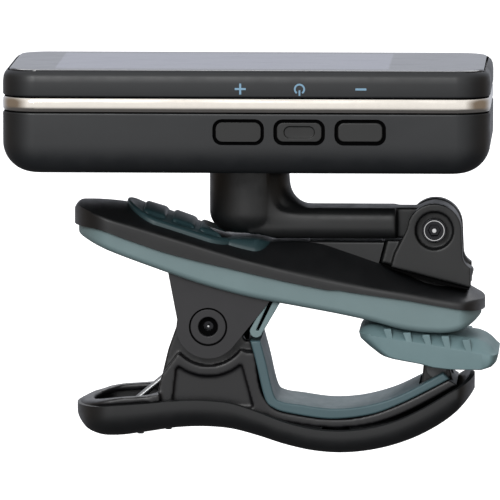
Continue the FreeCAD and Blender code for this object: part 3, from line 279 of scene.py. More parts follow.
BLACK = (0.0070, 0.0076, 0.0086)
GREY_GREEN = (0.170, 0.245, 0.255)
MATERIALS = {
    "clip_plastic": moulded("clip_plastic", BLACK, 0.46, wear=0.25),
    "bracket_plastic": moulded("bracket_plastic", (0.015, 0.0145, 0.017), 0.46, wear=0.2),
    "arm_plastic": moulded("arm_plastic", (0.0085, 0.0092, 0.0098), 0.42, wear=0.2),
    "frame_plastic": moulded("frame_plastic", (0.0085, 0.0085, 0.0098), 0.40, wear=0.2),
    "case_plastic": moulded("case_plastic", (0.0105, 0.0120, 0.0140), 0.42, wear=0.15),
    "trim_white": metal("trim_white", (0.80, 0.755, 0.69), 0.14, (0.05, 0.05, 1), 0.96),
    "soft_liner": moulded("soft_liner", GREY_GREEN, 0.58, grain=3600.0, shade=0.92),
    # the liner's grey-green rubber darkened: painted shade on the rubber of the throat between the jaws
    "throat_rubber": moulded("throat_rubber", (0.060, 0.110, 0.125), 0.52, grain=3600.0,
                             shade=0.92),
    "jaw_rubber": moulded("jaw_rubber", (0.150, 0.235, 0.250), 0.60, grain=3600.0, shade=0.92),
    "teal_rubber": moulded("teal_rubber", (0.020, 0.048, 0.055), 0.46, grain=3600.0, shade=0.9),
    "button_rubber": moulded("button_rubber", (0.0105, 0.0110, 0.0110), 0.42, grain=3600.0),
    "display_glass": display_material(),
    "panel": moulded("panel", (0.09, 0.10, 0.11), 0.20, shade=0.95),
    "backlight": moulded("backlight", (0.70, 0.70, 0.68), 0.5, shade=0.96),
    "board": board_material(),
    "switch": moulded("switch", (0.02, 0.02, 0.02), 0.4),
    "steel": metal("steel", (0.030, 0.030, 0.033), 0.20),
    "chrome": metal("chrome", (0.62, 0.62, 0.62), 0.15),
    "spring_steel": metal("spring_steel", (0.40, 0.41, 0.42), 0.24, (1, 1, 8)),
    "brass": metal("brass", (0.70, 0.52, 0.22), 0.28),
    "pin_grey": moulded("pin_grey", (0.11, 0.115, 0.12), 0.5),
    "print_blue": moulded("print_blue", (0.20, 0.36, 0.50), 0.5, shade=0.95),
    # near-black matte sheet used only for painted shade in seams, key gaps, grooves, recesses and the throat
    "painted_shade_black": moulded("painted_shade_black", (0.0012, 0.0012, 0.0014), 0.85, specular=0.05),
    "carrier": moulded("carrier", (0.018, 0.018, 0.02), 0.5),
}
SLOT_OF = {item["node"]: item["material_slot"] for item in frame["record"]["subparts"]}


def dress(obj, slot):
    """Give an object the material of one slot."""
    obj.data.materials.clear()
    obj.data.materials.append(MATERIALS[slot])


def soften(obj, width):
    """Weld a CAD mesh and round its sharp edges."""
    weld = obj.modifiers.new("weld", "WELD")
    weld.merge_threshold = 1e-6
    flat = obj.modifiers.new("flat", "DECIMATE")
    flat.decimate_type = "DISSOLVE"
    flat.angle_limit = math.radians(0.5)
    bevel = obj.modifiers.new("bevel", "BEVEL")
    bevel.width = width * MM
    bevel.segments = 2
    bevel.limit_method = "ANGLE"
    bevel.angle_limit = math.radians(32.0)
    bevel.harden_normals = True
    for face in obj.data.polygons:
        face.use_smooth = True
    normals = obj.modifiers.new("normals", "WEIGHTED_NORMAL")
    normals.keep_sharp = True
    normals.weight = 100


# width of the rounded edges of CAD nodes, in millimetres
FINE_EDGE = 0.06
EDGE_ROUND = {
    "upper_bracket": 0.18, "pivot_caps": 0.12, "hinge_screw": 0.08, "pad_carrier": 0.1,
    "throat_guard": 0.15, "battery_cover": 0.15, "pad_pin": 0.12,
    "button_plus": 0.18, "button_power": 0.18, "button_minus": 0.18,
}
for node, obj in NODES.items():
    dress(obj, SLOT_OF[node])
    soften(obj, EDGE_ROUND.get(node, FINE_EDGE))


# ---------------------------------------------------------------- mesh helpers
def curve(points, column=1):
    """Smooth function of x through the stations of a table."""
    xs = np.array([point[0] for point in points], float)
    values = np.array([point[column] for point in points], float)
    slopes = np.gradient(values, xs)

    def value(x):
        index = int(np.clip(np.searchsorted(xs, x) - 1, 0, len(xs) - 2))
        step = xs[index + 1] - xs[index]
        t = float(np.clip((x - xs[index]) / step, 0.0, 1.0))
        return float((2 * t**3 - 3 * t**2 + 1) * values[index]
                     + (t**3 - 2 * t**2 + t) * step * slopes[index]
                     + (3 * t**2 - 2 * t**3) * values[index + 1]
                     + (t**3 - t**2) * step * slopes[index + 1])
    return value


def ease(low, high, x):
    """Smooth step from 0 at low to 1 at high."""
    t = min(max((x - low) / (high - low), 0.0), 1.0)
    return t * t * (3 - 2 * t)


def spline(points, steps):
    """Points along a smooth open line through the given points."""
    knots = [Vector(point) for point in points]
    knots = [2 * knots[0] - knots[1]] + knots + [2 * knots[-1] - knots[-2]]
    line = []
    for first, here, after, last in zip(knots, knots[1:], knots[2:], knots[3:]):
        for step in range(steps):
            t = step / steps
            line.append(0.5 * (2 * here + (after - first) * t
                               + (2 * first - 5 * here + 4 * after - last) * t * t
                               + (3 * here - first - 3 * after + last) * t**3))
    return line + [knots[-2]]


def fillet(points, radii, steps=5):
    """Closed outline of (u, v) points with its corners rounded."""
    outline = []
    count = len(points)
    for index in range(count):
        here = Vector(points[index])
        before = Vector(points[index - 1]) - here
        after = Vector(points[(index + 1) % count]) - here
        radius = radii[index] if isinstance(radii, (list, tuple)) else radii
        half = before.angle(after) / 2
        if radius <= 0 or half > 1.5:
            outline.append(here)
            continue
        reach = min(radius / math.tan(half), 0.49 * before.length, 0.49 * after.length)
        radius = reach * math.tan(half)
        start = here + before.normalized() * reach
        end = here + after.normalized() * reach
        middle = (before.normalized() + after.normalized()).normalized()
        centre = here + middle * (radius / math.sin(half))
        first = math.atan2(*reversed(start - centre))
        turn = math.atan2(*reversed(end - centre)) - first
        turn = (turn + math.pi) % (2 * math.pi) - math.pi
        for step in range(steps + 1):
            angle = first + turn * step / steps
            outline.append(centre + radius * Vector((math.cos(angle), math.sin(angle))))
    return outline


def skin(rings, caps=True, paired=False):
    """Mesh stretched over closed rings of (x, y, z) points in millimetres.

    Paired caps join the points of an end ring in strips across it.
    """
    bm = bmesh.new()
    loops = [[bm.verts.new(Vector(point) * MM) for point in ring] for ring in rings]
    for first, second in zip(loops, loops[1:]):
        for index in range(len(first)):
            after = (index + 1) % len(first)
            bm.faces.new((first[index], first[after], second[after], second[index]))
    if paired:
        for loop in (loops[0], loops[-1]):
            for index in range(len(loop) // 2):
                strip = [loop[index], loop[index + 1], loop[-index - 1], loop[-index]]
                bm.faces.new(list(dict.fromkeys(strip)))
    elif caps:
        bm.faces.new(loops[0])
        bm.faces.new(loops[-1])
    bmesh.ops.remove_doubles(bm, verts=bm.verts, dist=2e-6)
    bmesh.ops.dissolve_degenerate(bm, edges=bm.edges, dist=1e-7)
    bmesh.ops.recalc_face_normals(bm, faces=bm.faces)
    return bm


def shade(obj, sharp=38.0):
    """Smooth shading with creases only at real edges."""
    for face in obj.data.polygons:
        face.use_smooth = True
    obj.data.set_sharp_from_angle(angle=math.radians(sharp))
    normals = obj.modifiers.new("normals", "WEIGHTED_NORMAL")
    normals.keep_sharp = True
    normals.weight = 80


def made(name, bm):
    """New object from a bmesh."""
    mesh = bpy.data.meshes.new(name)
    bm.to_mesh(mesh)
    bm.free()
    obj = bpy.data.objects.new(name, mesh)
    bpy.context.scene.collection.objects.link(obj)
    return obj


def settled(obj):
    """Apply an object's modifiers to its mesh."""
    bpy.context.view_layer.update()
    graph = bpy.context.evaluated_depsgraph_get()
    mesh = bpy.data.meshes.new_from_object(obj.evaluated_get(graph))
    obj.modifiers.clear()
    obj.data = mesh
    return obj


def combine(obj, tool, operation):
    """Boolean with a tool object, which is used up."""
    modifier = obj.modifiers.new("combine", "BOOLEAN")
    modifier.operation = operation
    modifier.solver = "EXACT"
    modifier.object = tool
    settled(obj)
    bpy.data.objects.remove(tool)
    return obj


def prism(name, outline, low, high, edge=0.0):
    """Side outline of (x, z) points carried across from y = low to y = high."""
    bm = skin([[(x, y, z) for x, z in outline] for y in (low, high)])
    if edge:
        rims = [e for e in bm.edges if abs(e.verts[0].co.y - e.verts[1].co.y) < 1e-7]
        bmesh.ops.bevel(bm, geom=rims, offset=edge * MM, segments=3, profile=0.5,
                        affect="EDGES", clamp_overlap=False)
    return made(name, bm)


def lathe(name, profile, place, axis=(0, 0, 1)):
    """Turned body from (radius, height) points along an axis."""
    steps = 64
    turn = Vector((0, 0, 1)).rotation_difference(Vector(axis)).to_matrix()
    rings = []
    for radius, height in profile:
        rings.append([turn @ Vector((radius * math.cos(2 * math.pi * k / steps),
                                     radius * math.sin(2 * math.pi * k / steps), height))
                      + Vector(place) for k in range(steps)])
    return made(name, skin(rings))


def block(name, size, edge, place):
    """Rounded block of the given size, centred on place."""
    bm = bmesh.new()
    bmesh.ops.create_cube(bm, size=1.0)
    bmesh.ops.scale(bm, vec=Vector(size) * MM, verts=bm.verts)
    bmesh.ops.bevel(bm, geom=bm.edges[:], offset=edge * MM, segments=4, profile=0.5,
                    affect="EDGES")
    bmesh.ops.translate(bm, vec=Vector(place) * MM, verts=bm.verts)
    return made(name, bm)


def plan(left, left_reach, right, right_reach, half):
    """Stations along an outline with rounded ends, as (x, half-width) pairs."""
    ends = 14
    middle = 56
    stations = []
    for step in range(ends):
        turn = math.pi / 2 * step / ends
        stations.append((left - left_reach * math.cos(turn), half * math.sin(turn)))
    for step in range(middle):
        stations.append((left + (right - left) * step / middle, half))
    for step in range(ends + 1):
        turn = math.pi / 2 * step / ends
        stations.append((right + right_reach * math.sin(turn), half * math.cos(turn)))
    return stations


def moulded_copy(node, body, voxel, smooth, region=None, passes=0, droop=None):
    """Copy of a CAD node with every edge softened, as on a moulded part.

    The region is a test on x, z for the points that are smoothed again, and droop is how far
    such a point is lowered.
    """
    source = NODES[node]
    obj = bpy.data.objects.new(node + "_moulded", source.data.copy())
    obj.matrix_world = source.matrix_world.copy()
    bpy.context.scene.collection.objects.link(obj)
    detail_kept = 0.4
    remesh = obj.modifiers.new("remesh", "REMESH")
    remesh.mode = "VOXEL"
    remesh.voxel_size = voxel * MM
    relax = obj.modifiers.new("relax", "SMOOTH")
    relax.iterations = smooth
    relax.factor = 0.5
    thin = obj.modifiers.new("thin", "DECIMATE")
    thin.ratio = detail_kept
    settled(obj)
    if region:
        bm = bmesh.new()
        bm.from_mesh(obj.data)
        inside = [v for v in bm.verts if region(v.co.x / MM, v.co.z / MM)]
        for _ in range(passes):
            bmesh.ops.smooth_vert(bm, verts=inside, factor=0.5, use_axis_x=True,
                                  use_axis_y=True, use_axis_z=True)
        if droop:
            for v in inside:
                v.co.z -= droop(v.co.x / MM, v.co.z / MM) * MM
        bm.to_mesh(obj.data)
        bm.free()
    dress(obj, SLOT_OF[node])
    for face in obj.data.polygons:
        face.use_smooth = True
    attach(obj, body)
    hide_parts(node)
    return obj


def bar(x, z, length, tall):
    """Rectangle about a point in a side view."""
    return [(x - length / 2, z - tall / 2), (x + length / 2, z - tall / 2),
            (x + length / 2, z + tall / 2), (x - length / 2, z + tall / 2)]


def extra(obj, body, material):
    """Finish a small piece that stands for no CAD node."""
    dress(obj, material)
    shade(obj)
    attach(obj, body)
    return obj


def present(obj, body, *replaced, sharp=38.0):
    """Finish a piece: shading, material, body and the CAD nodes that it stands for."""
    slot = SLOT_OF[replaced[0]]
    dress(obj, slot)
    shade(obj, sharp)
    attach(obj, body)
    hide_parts(*replaced)
    return obj


# ---------------------------------------------------------------- display head
HEAD_LOW, HEAD_HIGH = box_mm("front_case")
REAR_LOW, REAR_HIGH = box_mm("rear_case")
TRIM_LOW, TRIM_HIGH = box_mm("trim_ring")
LENS_LOW, LENS_HIGH = box_mm("display_lens")
HEAD_X = (REAR_LOW.x + REAR_HIGH.x) / 2
HALF_X = (REAR_HIGH.x - REAR_LOW.x) / 2
HALF_Y = (REAR_HIGH.y - REAR_LOW.y) / 2
CORNER = 5.0
WALL = 1.5
DISPLAY_INSET = 4.6
SCREW_X = 25.0
SCREW_Y = 12.2


def level(z, inset_x, inset_y=None):
    """Rounded rectangle at a height, inset from the head's outline."""
    inset_y = inset_x if inset_y is None else inset_y
    x = HALF_X - inset_x
    y = HALF_Y - inset_y
    corner = max(CORNER - max(inset_x, inset_y) * 0.75, 1.2)
    outline = fillet([(-x, -y), (x, -y), (x, y), (-x, y)], corner, 12)
    return [(HEAD_X + u, v, z) for u, v in outline]


def key_centre(node):
    """Middle of a key in the side view."""
    low, high = box_mm(node)
    centre = (low + high) / 2
    return centre.x, centre.z


def build_front():
    """Front case, trim ring and display window."""
    low, high = HEAD_LOW.z, HEAD_HIGH.z
    rings = [level(low, 0.5), level(low + 0.2, 0.46), level(low + 0.24, 0.1),
             level(low + 0.45, 0.0), level(low + 2.2, 0.0),
             level(high - 0.8, 0.1), level(high - 0.35, 0.3), level(high - 0.08, 0.62),
             level(high, 0.70), level(high - 0.25, 0.74), level(high - 0.75, 0.76),
             level(high - 0.75, DISPLAY_INSET), level(high - 1.4, DISPLAY_INSET),
             level(high - 1.4, WALL), level(low, WALL)]
    present(made("front_housing", skin(rings + [rings[0]], caps=False)), "head", "front_case")

    low, high = TRIM_LOW.z, TRIM_HIGH.z
    rings = [level(low, WALL), level(low, 0.22), level(low + 0.25, 0.04), level(low + 0.7, 0.0),
             level(high - 0.7, 0.0), level(high - 0.25, 0.04), level(high, 0.22),
             level(high, WALL)]
    present(made("trim_band", skin(rings + [rings[0]], caps=False)), "head", "trim_ring")

    low, high = LENS_LOW.z, LENS_HIGH.z
    rings = [level(low, 0.98), level(high - 0.3, 0.94), level(high - 0.12, 0.98),
             level(high - 0.02, 1.15), level(high, 1.5)]
    present(made("display_window", skin(rings)), "head", "display_lens")


def build_rear():
    """Rear case with its pockets for the keys, the cover, the post and the screws."""
    low, high = REAR_LOW.z, REAR_HIGH.z
    outer = [level(high, 0.5), level(high - 0.16, 0.46), level(high - 0.2, 0.1),
             level(high - 0.4, 0.0)]
    inner = [level(high, WALL), level(low + 4.8, WALL)]
    steps = 14
    for step in range(steps + 1):
        turn = math.pi / 2 * step / steps
        drop = 1 - math.cos(turn)
        rise = 1 - math.sin(turn)
        outer.append(level(low + 4.4 * rise, 4.6 * drop, 2.4 * drop**1.2))
    for step in range(0, steps + 1, 2):
        turn = math.pi / 2 * step / steps
        drop = 1 - math.cos(turn)
        rise = 1 - math.sin(turn)
        inner.append(level(low + WALL + 3.2 * rise, WALL + 4.0 * drop, WALL + 2.0 * drop**1.2))
    rear = made("rear_housing", skin(list(reversed(inner)) + outer))
    for node in KEYS:
        x, z = key_centre(node)
        for length, tall, deep, round_off in ((7.5, 3.8, 1.2, 1.35), (6.75, 3.05, 3.0, 1.0)):
            outline = fillet(bar(x, z, length, tall), round_off, 6)
            combine(rear, prism("tool", outline, -HALF_Y - 1, -HALF_Y + deep), "DIFFERENCE")
    cover_low, cover_high = box_mm("battery_cover")
    bores = [(HEAD_X, 0, 3.06), ((cover_low.x + cover_high.x) / 2, 0, 9.3)]
    bores += [(HEAD_X + sx * SCREW_X, sy * SCREW_Y, 2.1) for sx in (-1, 1) for sy in (-1, 1)]
    lead_in = 0.35
    for x, y, radius in bores:
        tool = lathe("tool", [(radius + lead_in, -1.0), (radius + lead_in, -0.001), (radius, 0.3),
                              (radius, 3.0)], (x, y, low))
        combine(rear, tool, "DIFFERENCE")
    present(rear, "head", "rear_case", sharp=30.0)


def hoop(name, centre, inner, outer, low, high, body, material):
    """Flat ring about an axis along Y."""
    rings = []
    for radius, y in ((inner, low), (outer, low), (outer, high), (inner, high), (inner, low)):
        rings.append([(centre.x + radius * math.cos(math.pi * k / 32), y,
                       centre.z + radius * math.sin(math.pi * k / 32)) for k in range(64)])
    extra(made(name, skin(rings, caps=False)), body, material)


def build_details():
    """Painted shade in the grooves round the pivot caps and round the pivot pin, painted highlights on the bolts'
    rims and centres, painted shadow on the turret's seat, and a plate of painted shade beside the bracket.
    """
    proud = 0.02
    low, high = box_mm("pivot_caps")
    # flat black rings on the pivot caps: painted shade in the grooves round them
    for name, near, far in (("cap_groove_shade_near", low.y - proud, low.y + 0.6),
                            ("cap_groove_shade_far", high.y - 0.6, high.y + proud)):
        hoop(name, PIVOT, 2.58, 2.82, near, far, "upper_jaw", "painted_shade_black")
    face = box_mm("hinge_screw")[0].y
    # chrome ring and dot on the hinge bolt: painted highlight on its rim and painted glint at its centre
    hoop("bolt_highlight_ring", HINGE, 1.4, 1.5, face - 0.03, face + 0.3, "turret", "chrome")
    hoop("bolt_glint", HINGE, 0.01, 0.3, face - 0.03, face + 0.9, "turret", "chrome")
    face = box_mm("pivot_pin")[0].y
    # black ring round the pivot pin: painted shadow in its recess
    hoop("pin_shadow", PIVOT, 0.72, 1.36, face - proud, face + 0.3, "upper_jaw", "painted_shade_black")
    # chrome dot on the pivot pin: painted glint
    hoop("pin_glint", PIVOT, 0.01, 0.14, face - proud, face + 0.3, "upper_jaw", "chrome")
    shadow = lathe("seat_shadow", [(2.4, -0.2), (8.6, -0.2), (8.6, -0.08), (2.4, -0.08)], TURRET,
                   TURRET_AXIS)
    combine(shadow, block("nose", (20.0, 30.0, 20.0), 0.1, (TURRET.x + 15.2, 0, TURRET.z)),
            "DIFFERENCE")
    extra(shadow, "upper_jaw", "painted_shade_black")
    # black plate beside the bracket: painted shade in the hollow of the throat guard
    shade_plate_outline = [(-24.6, 4.2), (-21.7, 5.4), (-24.6, 0.3), (-26.2, -0.7), (-27.8, -0.9), (-28.4, 0.2)]
    shade_plate_half = 5.6
    extra(prism("throat_shade_plate", shade_plate_outline, -shade_plate_half, shade_plate_half), "upper_jaw", "painted_shade_black")


def build_gaps():
    """Black sheets that paint the shade in the seams of the case and in the gaps round the keys."""
    inset = 0.26
    # black bands inside the seams above and below the trim: painted shade
    for name, low, high in (("seam_shade_upper", TRIM_HIGH.z - 0.1, HEAD_LOW.z + 0.22),
                            ("seam_shade_lower", REAR_HIGH.z - 0.18, TRIM_LOW.z + 0.1)):
        rings = [level(low, WALL), level(low, inset), level(high, inset), level(high, WALL)]
        extra(made(name, skin(rings + [rings[0]], caps=False)), "head", "painted_shade_black")
    # black plates behind the gaps round the keys: painted shade
    for node in KEYS:
        outline = fillet(bar(*key_centre(node), 7.8, 4.1), 1.4, 5)
        extra(prism(node + "_gap_shade", outline, -HALF_Y + 0.55, -HALF_Y + 0.8), "head", "painted_shade_black")


# ---------------------------------------------------------------- upper jaw
# x, bottom edge, top of the side wall, crest
SHELL_LINE = [
    (-52.5, 15.3, 17.4, 18.4), (-48.0, 15.05, 17.0, 18.45), (-44.0, 13.7, 15.9, 18.1),
    (-39.0, 12.0, 14.4, 16.8), (-33.0, 10.4, 12.6, 14.7), (-29.0, 9.5, 11.4, 13.35),
    (-26.0, 8.8, 10.6, 12.8), (-20.0, 7.45, 9.1, 12.75), (-16.0, 6.65, 8.2, 12.55),
    (-12.0, 5.9, 7.4, 11.3), (-7.0, 5.15, 6.5, 9.6), (-3.0, 4.6, 5.85, 8.5),
    (1.0, 3.9, 5.1, 7.4), (5.5, 3.15, 4.4, 6.3), (8.8, 2.6, 3.8, 4.2),
]
LINER_LINE = [
    (-52.5, 14.4), (-49.9, 13.3), (-46.9, 12.0), (-39.7, 9.3), (-33.0, 7.0), (-25.8, 5.1),
    (-18.5, 3.75), (-12.6, 2.65), (-7.8, 1.6), (-3.9, 0.55), (0.5, 0.0), (3.4, 0.05),
    (6.1, 0.95), (8.8, 3.0),
]
CLIP_HALF = 10.0
SHELL_WALL = 1.6
# centres and reaches of the clip's rounded ends, seen from above
TAIL_X = -46.2
TAIL_REACH = 5.75
NOSE_X = 4.6
NOSE_REACH = 3.8
BOTTOM = curve(SHELL_LINE, 1)
SHOULDER = curve(SHELL_LINE, 2)
CREST = curve(SHELL_LINE, 3)
LINER = curve(LINER_LINE)


def parting(x):
    """Line between the shell and the liner, with its small step."""
    return BOTTOM(x) + 0.3 * ease(-14.2, -13.0, x)


def crown(x, y):
    """Height of the shell's top: a low arch that turns into a ridge under the folded arm."""
    share = min(abs(y) / CLIP_HALF, 1.0)
    ridge = ease(-30.0, -25.0, x) * (1 - ease(-6.0, 0.0, x))
    arch = 1 - share**2.2
    flank = 1 - (max(share - 0.30, 0.0) / 0.70) ** 1.1
    tip_start, tip_length, tip_fall = -50.75, 1.2, 1.3
    end = min(max((tip_start - x) / tip_length, 0.0), 1.0)
    fall = tip_fall * (1 - math.sqrt(1 - end**2))
    return SHOULDER(x) + (CREST(x) - SHOULDER(x)) * ((1 - ridge) * arch + ridge * flank) - fall


def across(x, half, drop, low):
    """Upper part of a section: up one side wall, over the crown and down the other."""
    count = 30
    edge = min(0.45, 0.35 * half)
    top = crown(x, half) - drop
    side = [(-half, low), (-half, low + 0.5 * (top - edge - low)), (-half, top - edge),
            (-half + 0.12 * edge, top - 0.45 * edge), (-half + 0.45 * edge, top + 0.02)]
    inside = half - edge
    over = []
    for k in range(count + 1):
        y = inside * (2 * k / count - 1)
        over.append((y, crown(x, y) - drop))
    return side + over + [(-y, z) for y, z in reversed(side)]


def build_upper_shell():
    """Crowned shell with the turret's seat and the ridge behind it."""
    rings = []
    outside = plan(TAIL_X, TAIL_REACH, NOSE_X, NOSE_REACH, CLIP_HALF)
    inside = plan(TAIL_X, TAIL_REACH - SHELL_WALL, NOSE_X, NOSE_REACH - SHELL_WALL,
                  CLIP_HALF - SHELL_WALL)
    for (x, half), (x_in, half_in) in zip(outside, inside):
        low = parting(x)
        outer = [(x, y, z) for y, z in across(x, half, 0.0, low)]
        inner = [(x_in, y, z) for y, z in across(x_in, half_in, SHELL_WALL, parting(x_in))]
        rings.append(outer + list(reversed(inner)))
    shell = made("clip_top", skin(rings, caps=False))
    sweep = 8.9
    room = lathe("room", [(sweep, -0.12), (sweep, 6.0)], TURRET, TURRET_AXIS)
    combine(shell, room, "DIFFERENCE")
    seat = lathe("seat", [(5.9, -1.6), (5.5, -0.35), (5.35, -0.12)], TURRET, TURRET_AXIS)
    combine(shell, seat, "UNION")
    bore = lathe("bore", [(2.36, -6.0), (2.36, 3.0)], TURRET, TURRET_AXIS)
    combine(shell, bore, "DIFFERENCE")
    fin = block("fin", (13.0, 6.0, 4.0), 0.45, (-11.1, 0, 10.85))
    clearance = lathe("clearance", [(sweep, -1.0), (sweep, 12.0)], TURRET, TURRET_AXIS)
    combine(fin, clearance, "DIFFERENCE")
    combine(shell, fin, "UNION")
    present(shell, "upper_jaw", "upper_shell", sharp=42.0)


def build_upper_liner():
    """Soft underside of the upper jaw, a little inside the shell all round."""
    rings = []
    inset = 0.55
    for x, half in plan(TAIL_X, 5.7 - inset, NOSE_X, NOSE_REACH - inset, CLIP_HALF - inset):
        low = LINER(x)
        high = parting(x) - 0.03
        closed = half < 1e-6
        wide = 1 if closed else half
        section = fillet([(-wide, high), (-wide, low), (wide, low), (wide, high)],
                         [0.15, 1.0, 1.0, 0.15], 5)
        rings.append([(x, 0 if closed else y, z) for y, z in section])
    present(made("clip_lining", skin(rings, caps=False)), "upper_jaw", "upper_liner")


def oval(left, left_reach, right, right_reach, half, turns=72):
    """Loop of (point, spine point) pairs round an oval outline."""
    loop = []
    for k in range(turns):
        angle = 2 * math.pi * k / turns
        c, s = math.cos(angle), math.sin(angle)
        centre = right if c > 0 else left
        reach = right_reach if c > 0 else left_reach
        spine = left + (right - left) * (0.5 + 0.5 * c)
        loop.append(((centre + reach * c, half * s), (spine, 0.0)))
    return loop


def cushion(name, loop, height, levels):
    """Closed body over an outline; levels are (share of the way in, lift) pairs."""
    rings = []
    for share, lift in levels:
        ring = []
        for (x, y), (sx, sy) in loop:
            px = x + (sx - x) * share
            py = y + (sy - y) * share
            ring.append((px, py, height(px, py) + lift))
        rings.append(ring)
    return made(name, skin(rings))


def build_finger_pad():
    """Soft pad with a raised rim and three bars across it, and the hump under the post."""
    rim = [(0.30, -0.3), (0.0, -0.3), (0.0, 0.35), (0.01, 0.55), (0.035, 0.68), (0.07, 0.72),
           (0.11, 0.66), (0.145, 0.5), (0.18, 0.4), (0.3, 0.4), (0.6, 0.42), (0.9, 0.42)]
    pad = cushion("thumb_pad", oval(-39.5, 4.7, -32.4, 5.8, 7.9), crown, rim)
    hump_top = 13.3
    hump_slope = 0.7
    hump = cushion("hump", oval(-28.6, 2.6, -25.7, 3.0, 6.6, 56), crown,
                   [(0.3, -0.4), (0.0, -0.4), (0.0, 0.15), (0.03, 0.45), (0.08, 0.85),
                    (0.14, 1.25), (0.22, 1.7), (0.32, 2.1), (0.45, 2.5), (0.65, 2.8), (0.9, 2.9)])
    for vertex in hump.data.vertices:
        x = vertex.co.x / MM
        vertex.co.z = min(vertex.co.z, (hump_top - hump_slope * ease(-25.4, -22.2, x)) * MM)
    extra(hump, "upper_jaw", "teal_rubber")
    half_long = 1.7
    bar_half = 5.9
    end_round = 0.8
    for x in (-39.9, -35.7, -31.7):
        rings = []
        for y in np.linspace(-bar_half, bar_half, 37):
            inward = min(bar_half - abs(y), end_round) / end_round
            grow = math.sqrt(max(1 - (1 - inward) ** 2, 0.0))
            half = half_long - 0.55 * (1 - grow)
            lift = 0.15 + 0.65 * grow
            section = fillet([(x - half, -1.0), (x + half, -1.0), (x + half, lift),
                              (x - half, lift)], [0, 0, 0.55, 0.55], 5)
            rings.append([(u, y, crown(u, y) + w) for u, w in section])
        combine(pad, made("bar", skin(rings)), "UNION")
    foot = box_mm("swing_arm")[0].z + 0.2
    flat, bend = 3.3, 3.6
    profile = [(0.1, foot)]
    for k in range(9):
        turn = math.pi * k / 16
        profile.append((flat + bend * math.sin(turn), foot + bend * (1 - math.cos(turn))))
    profile.append((flat + bend, foot + 9.0))
    combine(pad, lathe("under_post", profile, (POST_X, 0, 0)), "DIFFERENCE")
    present(pad, "upper_jaw", "finger_pad", sharp=50.0)


# ---------------------------------------------------------------- lower jaw
# x, rim, underside
LOWER_LINE = [
    (-52.0, -11.2, -12.4), (-50.3, -11.1, -14.4), (-48.2, -11.0, -15.3), (-45.6, -10.8, -15.5),
    (-41.4, -10.5, -15.0), (-36.4, -10.05, -14.25), (-32.3, -10.0, -14.1), (-28.6, -10.4, -14.4),
    (-24.8, -11.6, -15.35), (-20.8, -13.1, -16.6), (-16.7, -14.1, -17.5), (-12.6, -14.4, -17.8),
    (-8.5, -14.0, -17.45), (-4.4, -12.9, -16.5), (-0.2, -10.9, -14.8), (3.8, -8.5, -12.2),
    (7.3, -6.6, -8.6),
]
LINER_INNER = [
    (-24.35, -1.4), (-23.5, -4.6), (-22.4, -9.2), (-21.3, -10.3), (-18.5, -10.75),
    (-14.1, -11.3), (-9.7, -11.0), (-5.3, -9.85), (-1.7, -8.2), (2.4, -6.0),
]
LINER_OUTER = [
    (-25.85, -1.4), (-25.0, -4.6), (-23.7, -9.9), (-22.3, -11.35), (-20.0, -12.05),
    (-14.1, -12.85), (-8.3, -12.2), (-3.9, -10.6), (0.5, -8.4), (3.3, -6.9),
]
RIM = curve(LOWER_LINE, 1)
FLOOR = curve(LOWER_LINE, 2)
LOWER_WALL = 1.3


def trough(x, half, wall):
    """Section of the tub: its rim, rounded sides and floor, inset by wall."""
    rim = RIM(x)
    floor = FLOOR(x) + wall
    depth = max(rim - floor, 0.4)
    width = max(half, 1e-4)
    corner = min(0.72 * depth, 3.6)
    outline = fillet([(-width, rim + 5), (-width, floor), (width, floor), (width, rim + 5)],
                     [0, corner, corner, 0], 9)[1:-1]
    top = [(-width, rim - 0.05), (-width, rim - 0.14 * depth)]
    return top + [tuple(p) for p in outline] + [(-y, z) for y, z in reversed(top)]


def build_lower_shell():
    """Rounded tub of the lower handle and jaw."""
    rings = []
    tail, nose = 5.4, 2.6
    outside = plan(TAIL_X, tail, 4.3, nose, CLIP_HALF)
    inside = plan(TAIL_X, tail - LOWER_WALL, 4.3, nose - LOWER_WALL, CLIP_HALF - LOWER_WALL)
    for (x, half), (x_in, half_in) in zip(outside, inside):
        outer = [(x, y, z) for y, z in trough(x, half, 0.0)]
        inner = [(x_in, y, z) for y, z in trough(x_in, half_in, LOWER_WALL)]
        lip = LOWER_WALL / 2
        share = half / CLIP_HALF
        crest = (x + x_in) / 2, half - lip * share, RIM(x) + 0.12
        rings.append([(crest[0], -crest[1], crest[2])] + outer + [crest] + list(reversed(inner)))
    shell = made("clip_bottom", skin(rings, caps=False))
    for x in (-42.1, -38.0):
        nub = block("nub", (1.1, 9.0, 0.9), 0.3, (x, 0, FLOOR(x) - 0.05))
        combine(shell, nub, "UNION")
    for x in (-29.5, -13.5):
        tool = lathe("tool", [(2.5, -3.0), (2.5, 0.1), (2.3, 0.3), (2.3, 0.62), (1.3, 0.62),
                              (1.3, 3.0)], (x, 0, FLOOR(x)))
        combine(shell, tool, "DIFFERENCE")
    present(shell, "lower_jaw", "lower_shell", sharp=42.0)


def build_lower_liner():
    """Soft band round the throat, slotted for the lugs of the jaw pad."""
    inner = spline([(x, z) for x, z in LINER_INNER], 5)
    outer = spline([(x, z) for x, z in LINER_OUTER], 5)
    liner = prism("throat_lining", inner + list(reversed(outer)), -8.0, 8.0, 0.32)
    slot = block("slot", (8.0, 11.2, 8.0), 0.1, (2.8, 0, -7.0))
    combine(liner, slot, "DIFFERENCE")
    present(liner, "lower_jaw", "lower_liner", sharp=45.0)


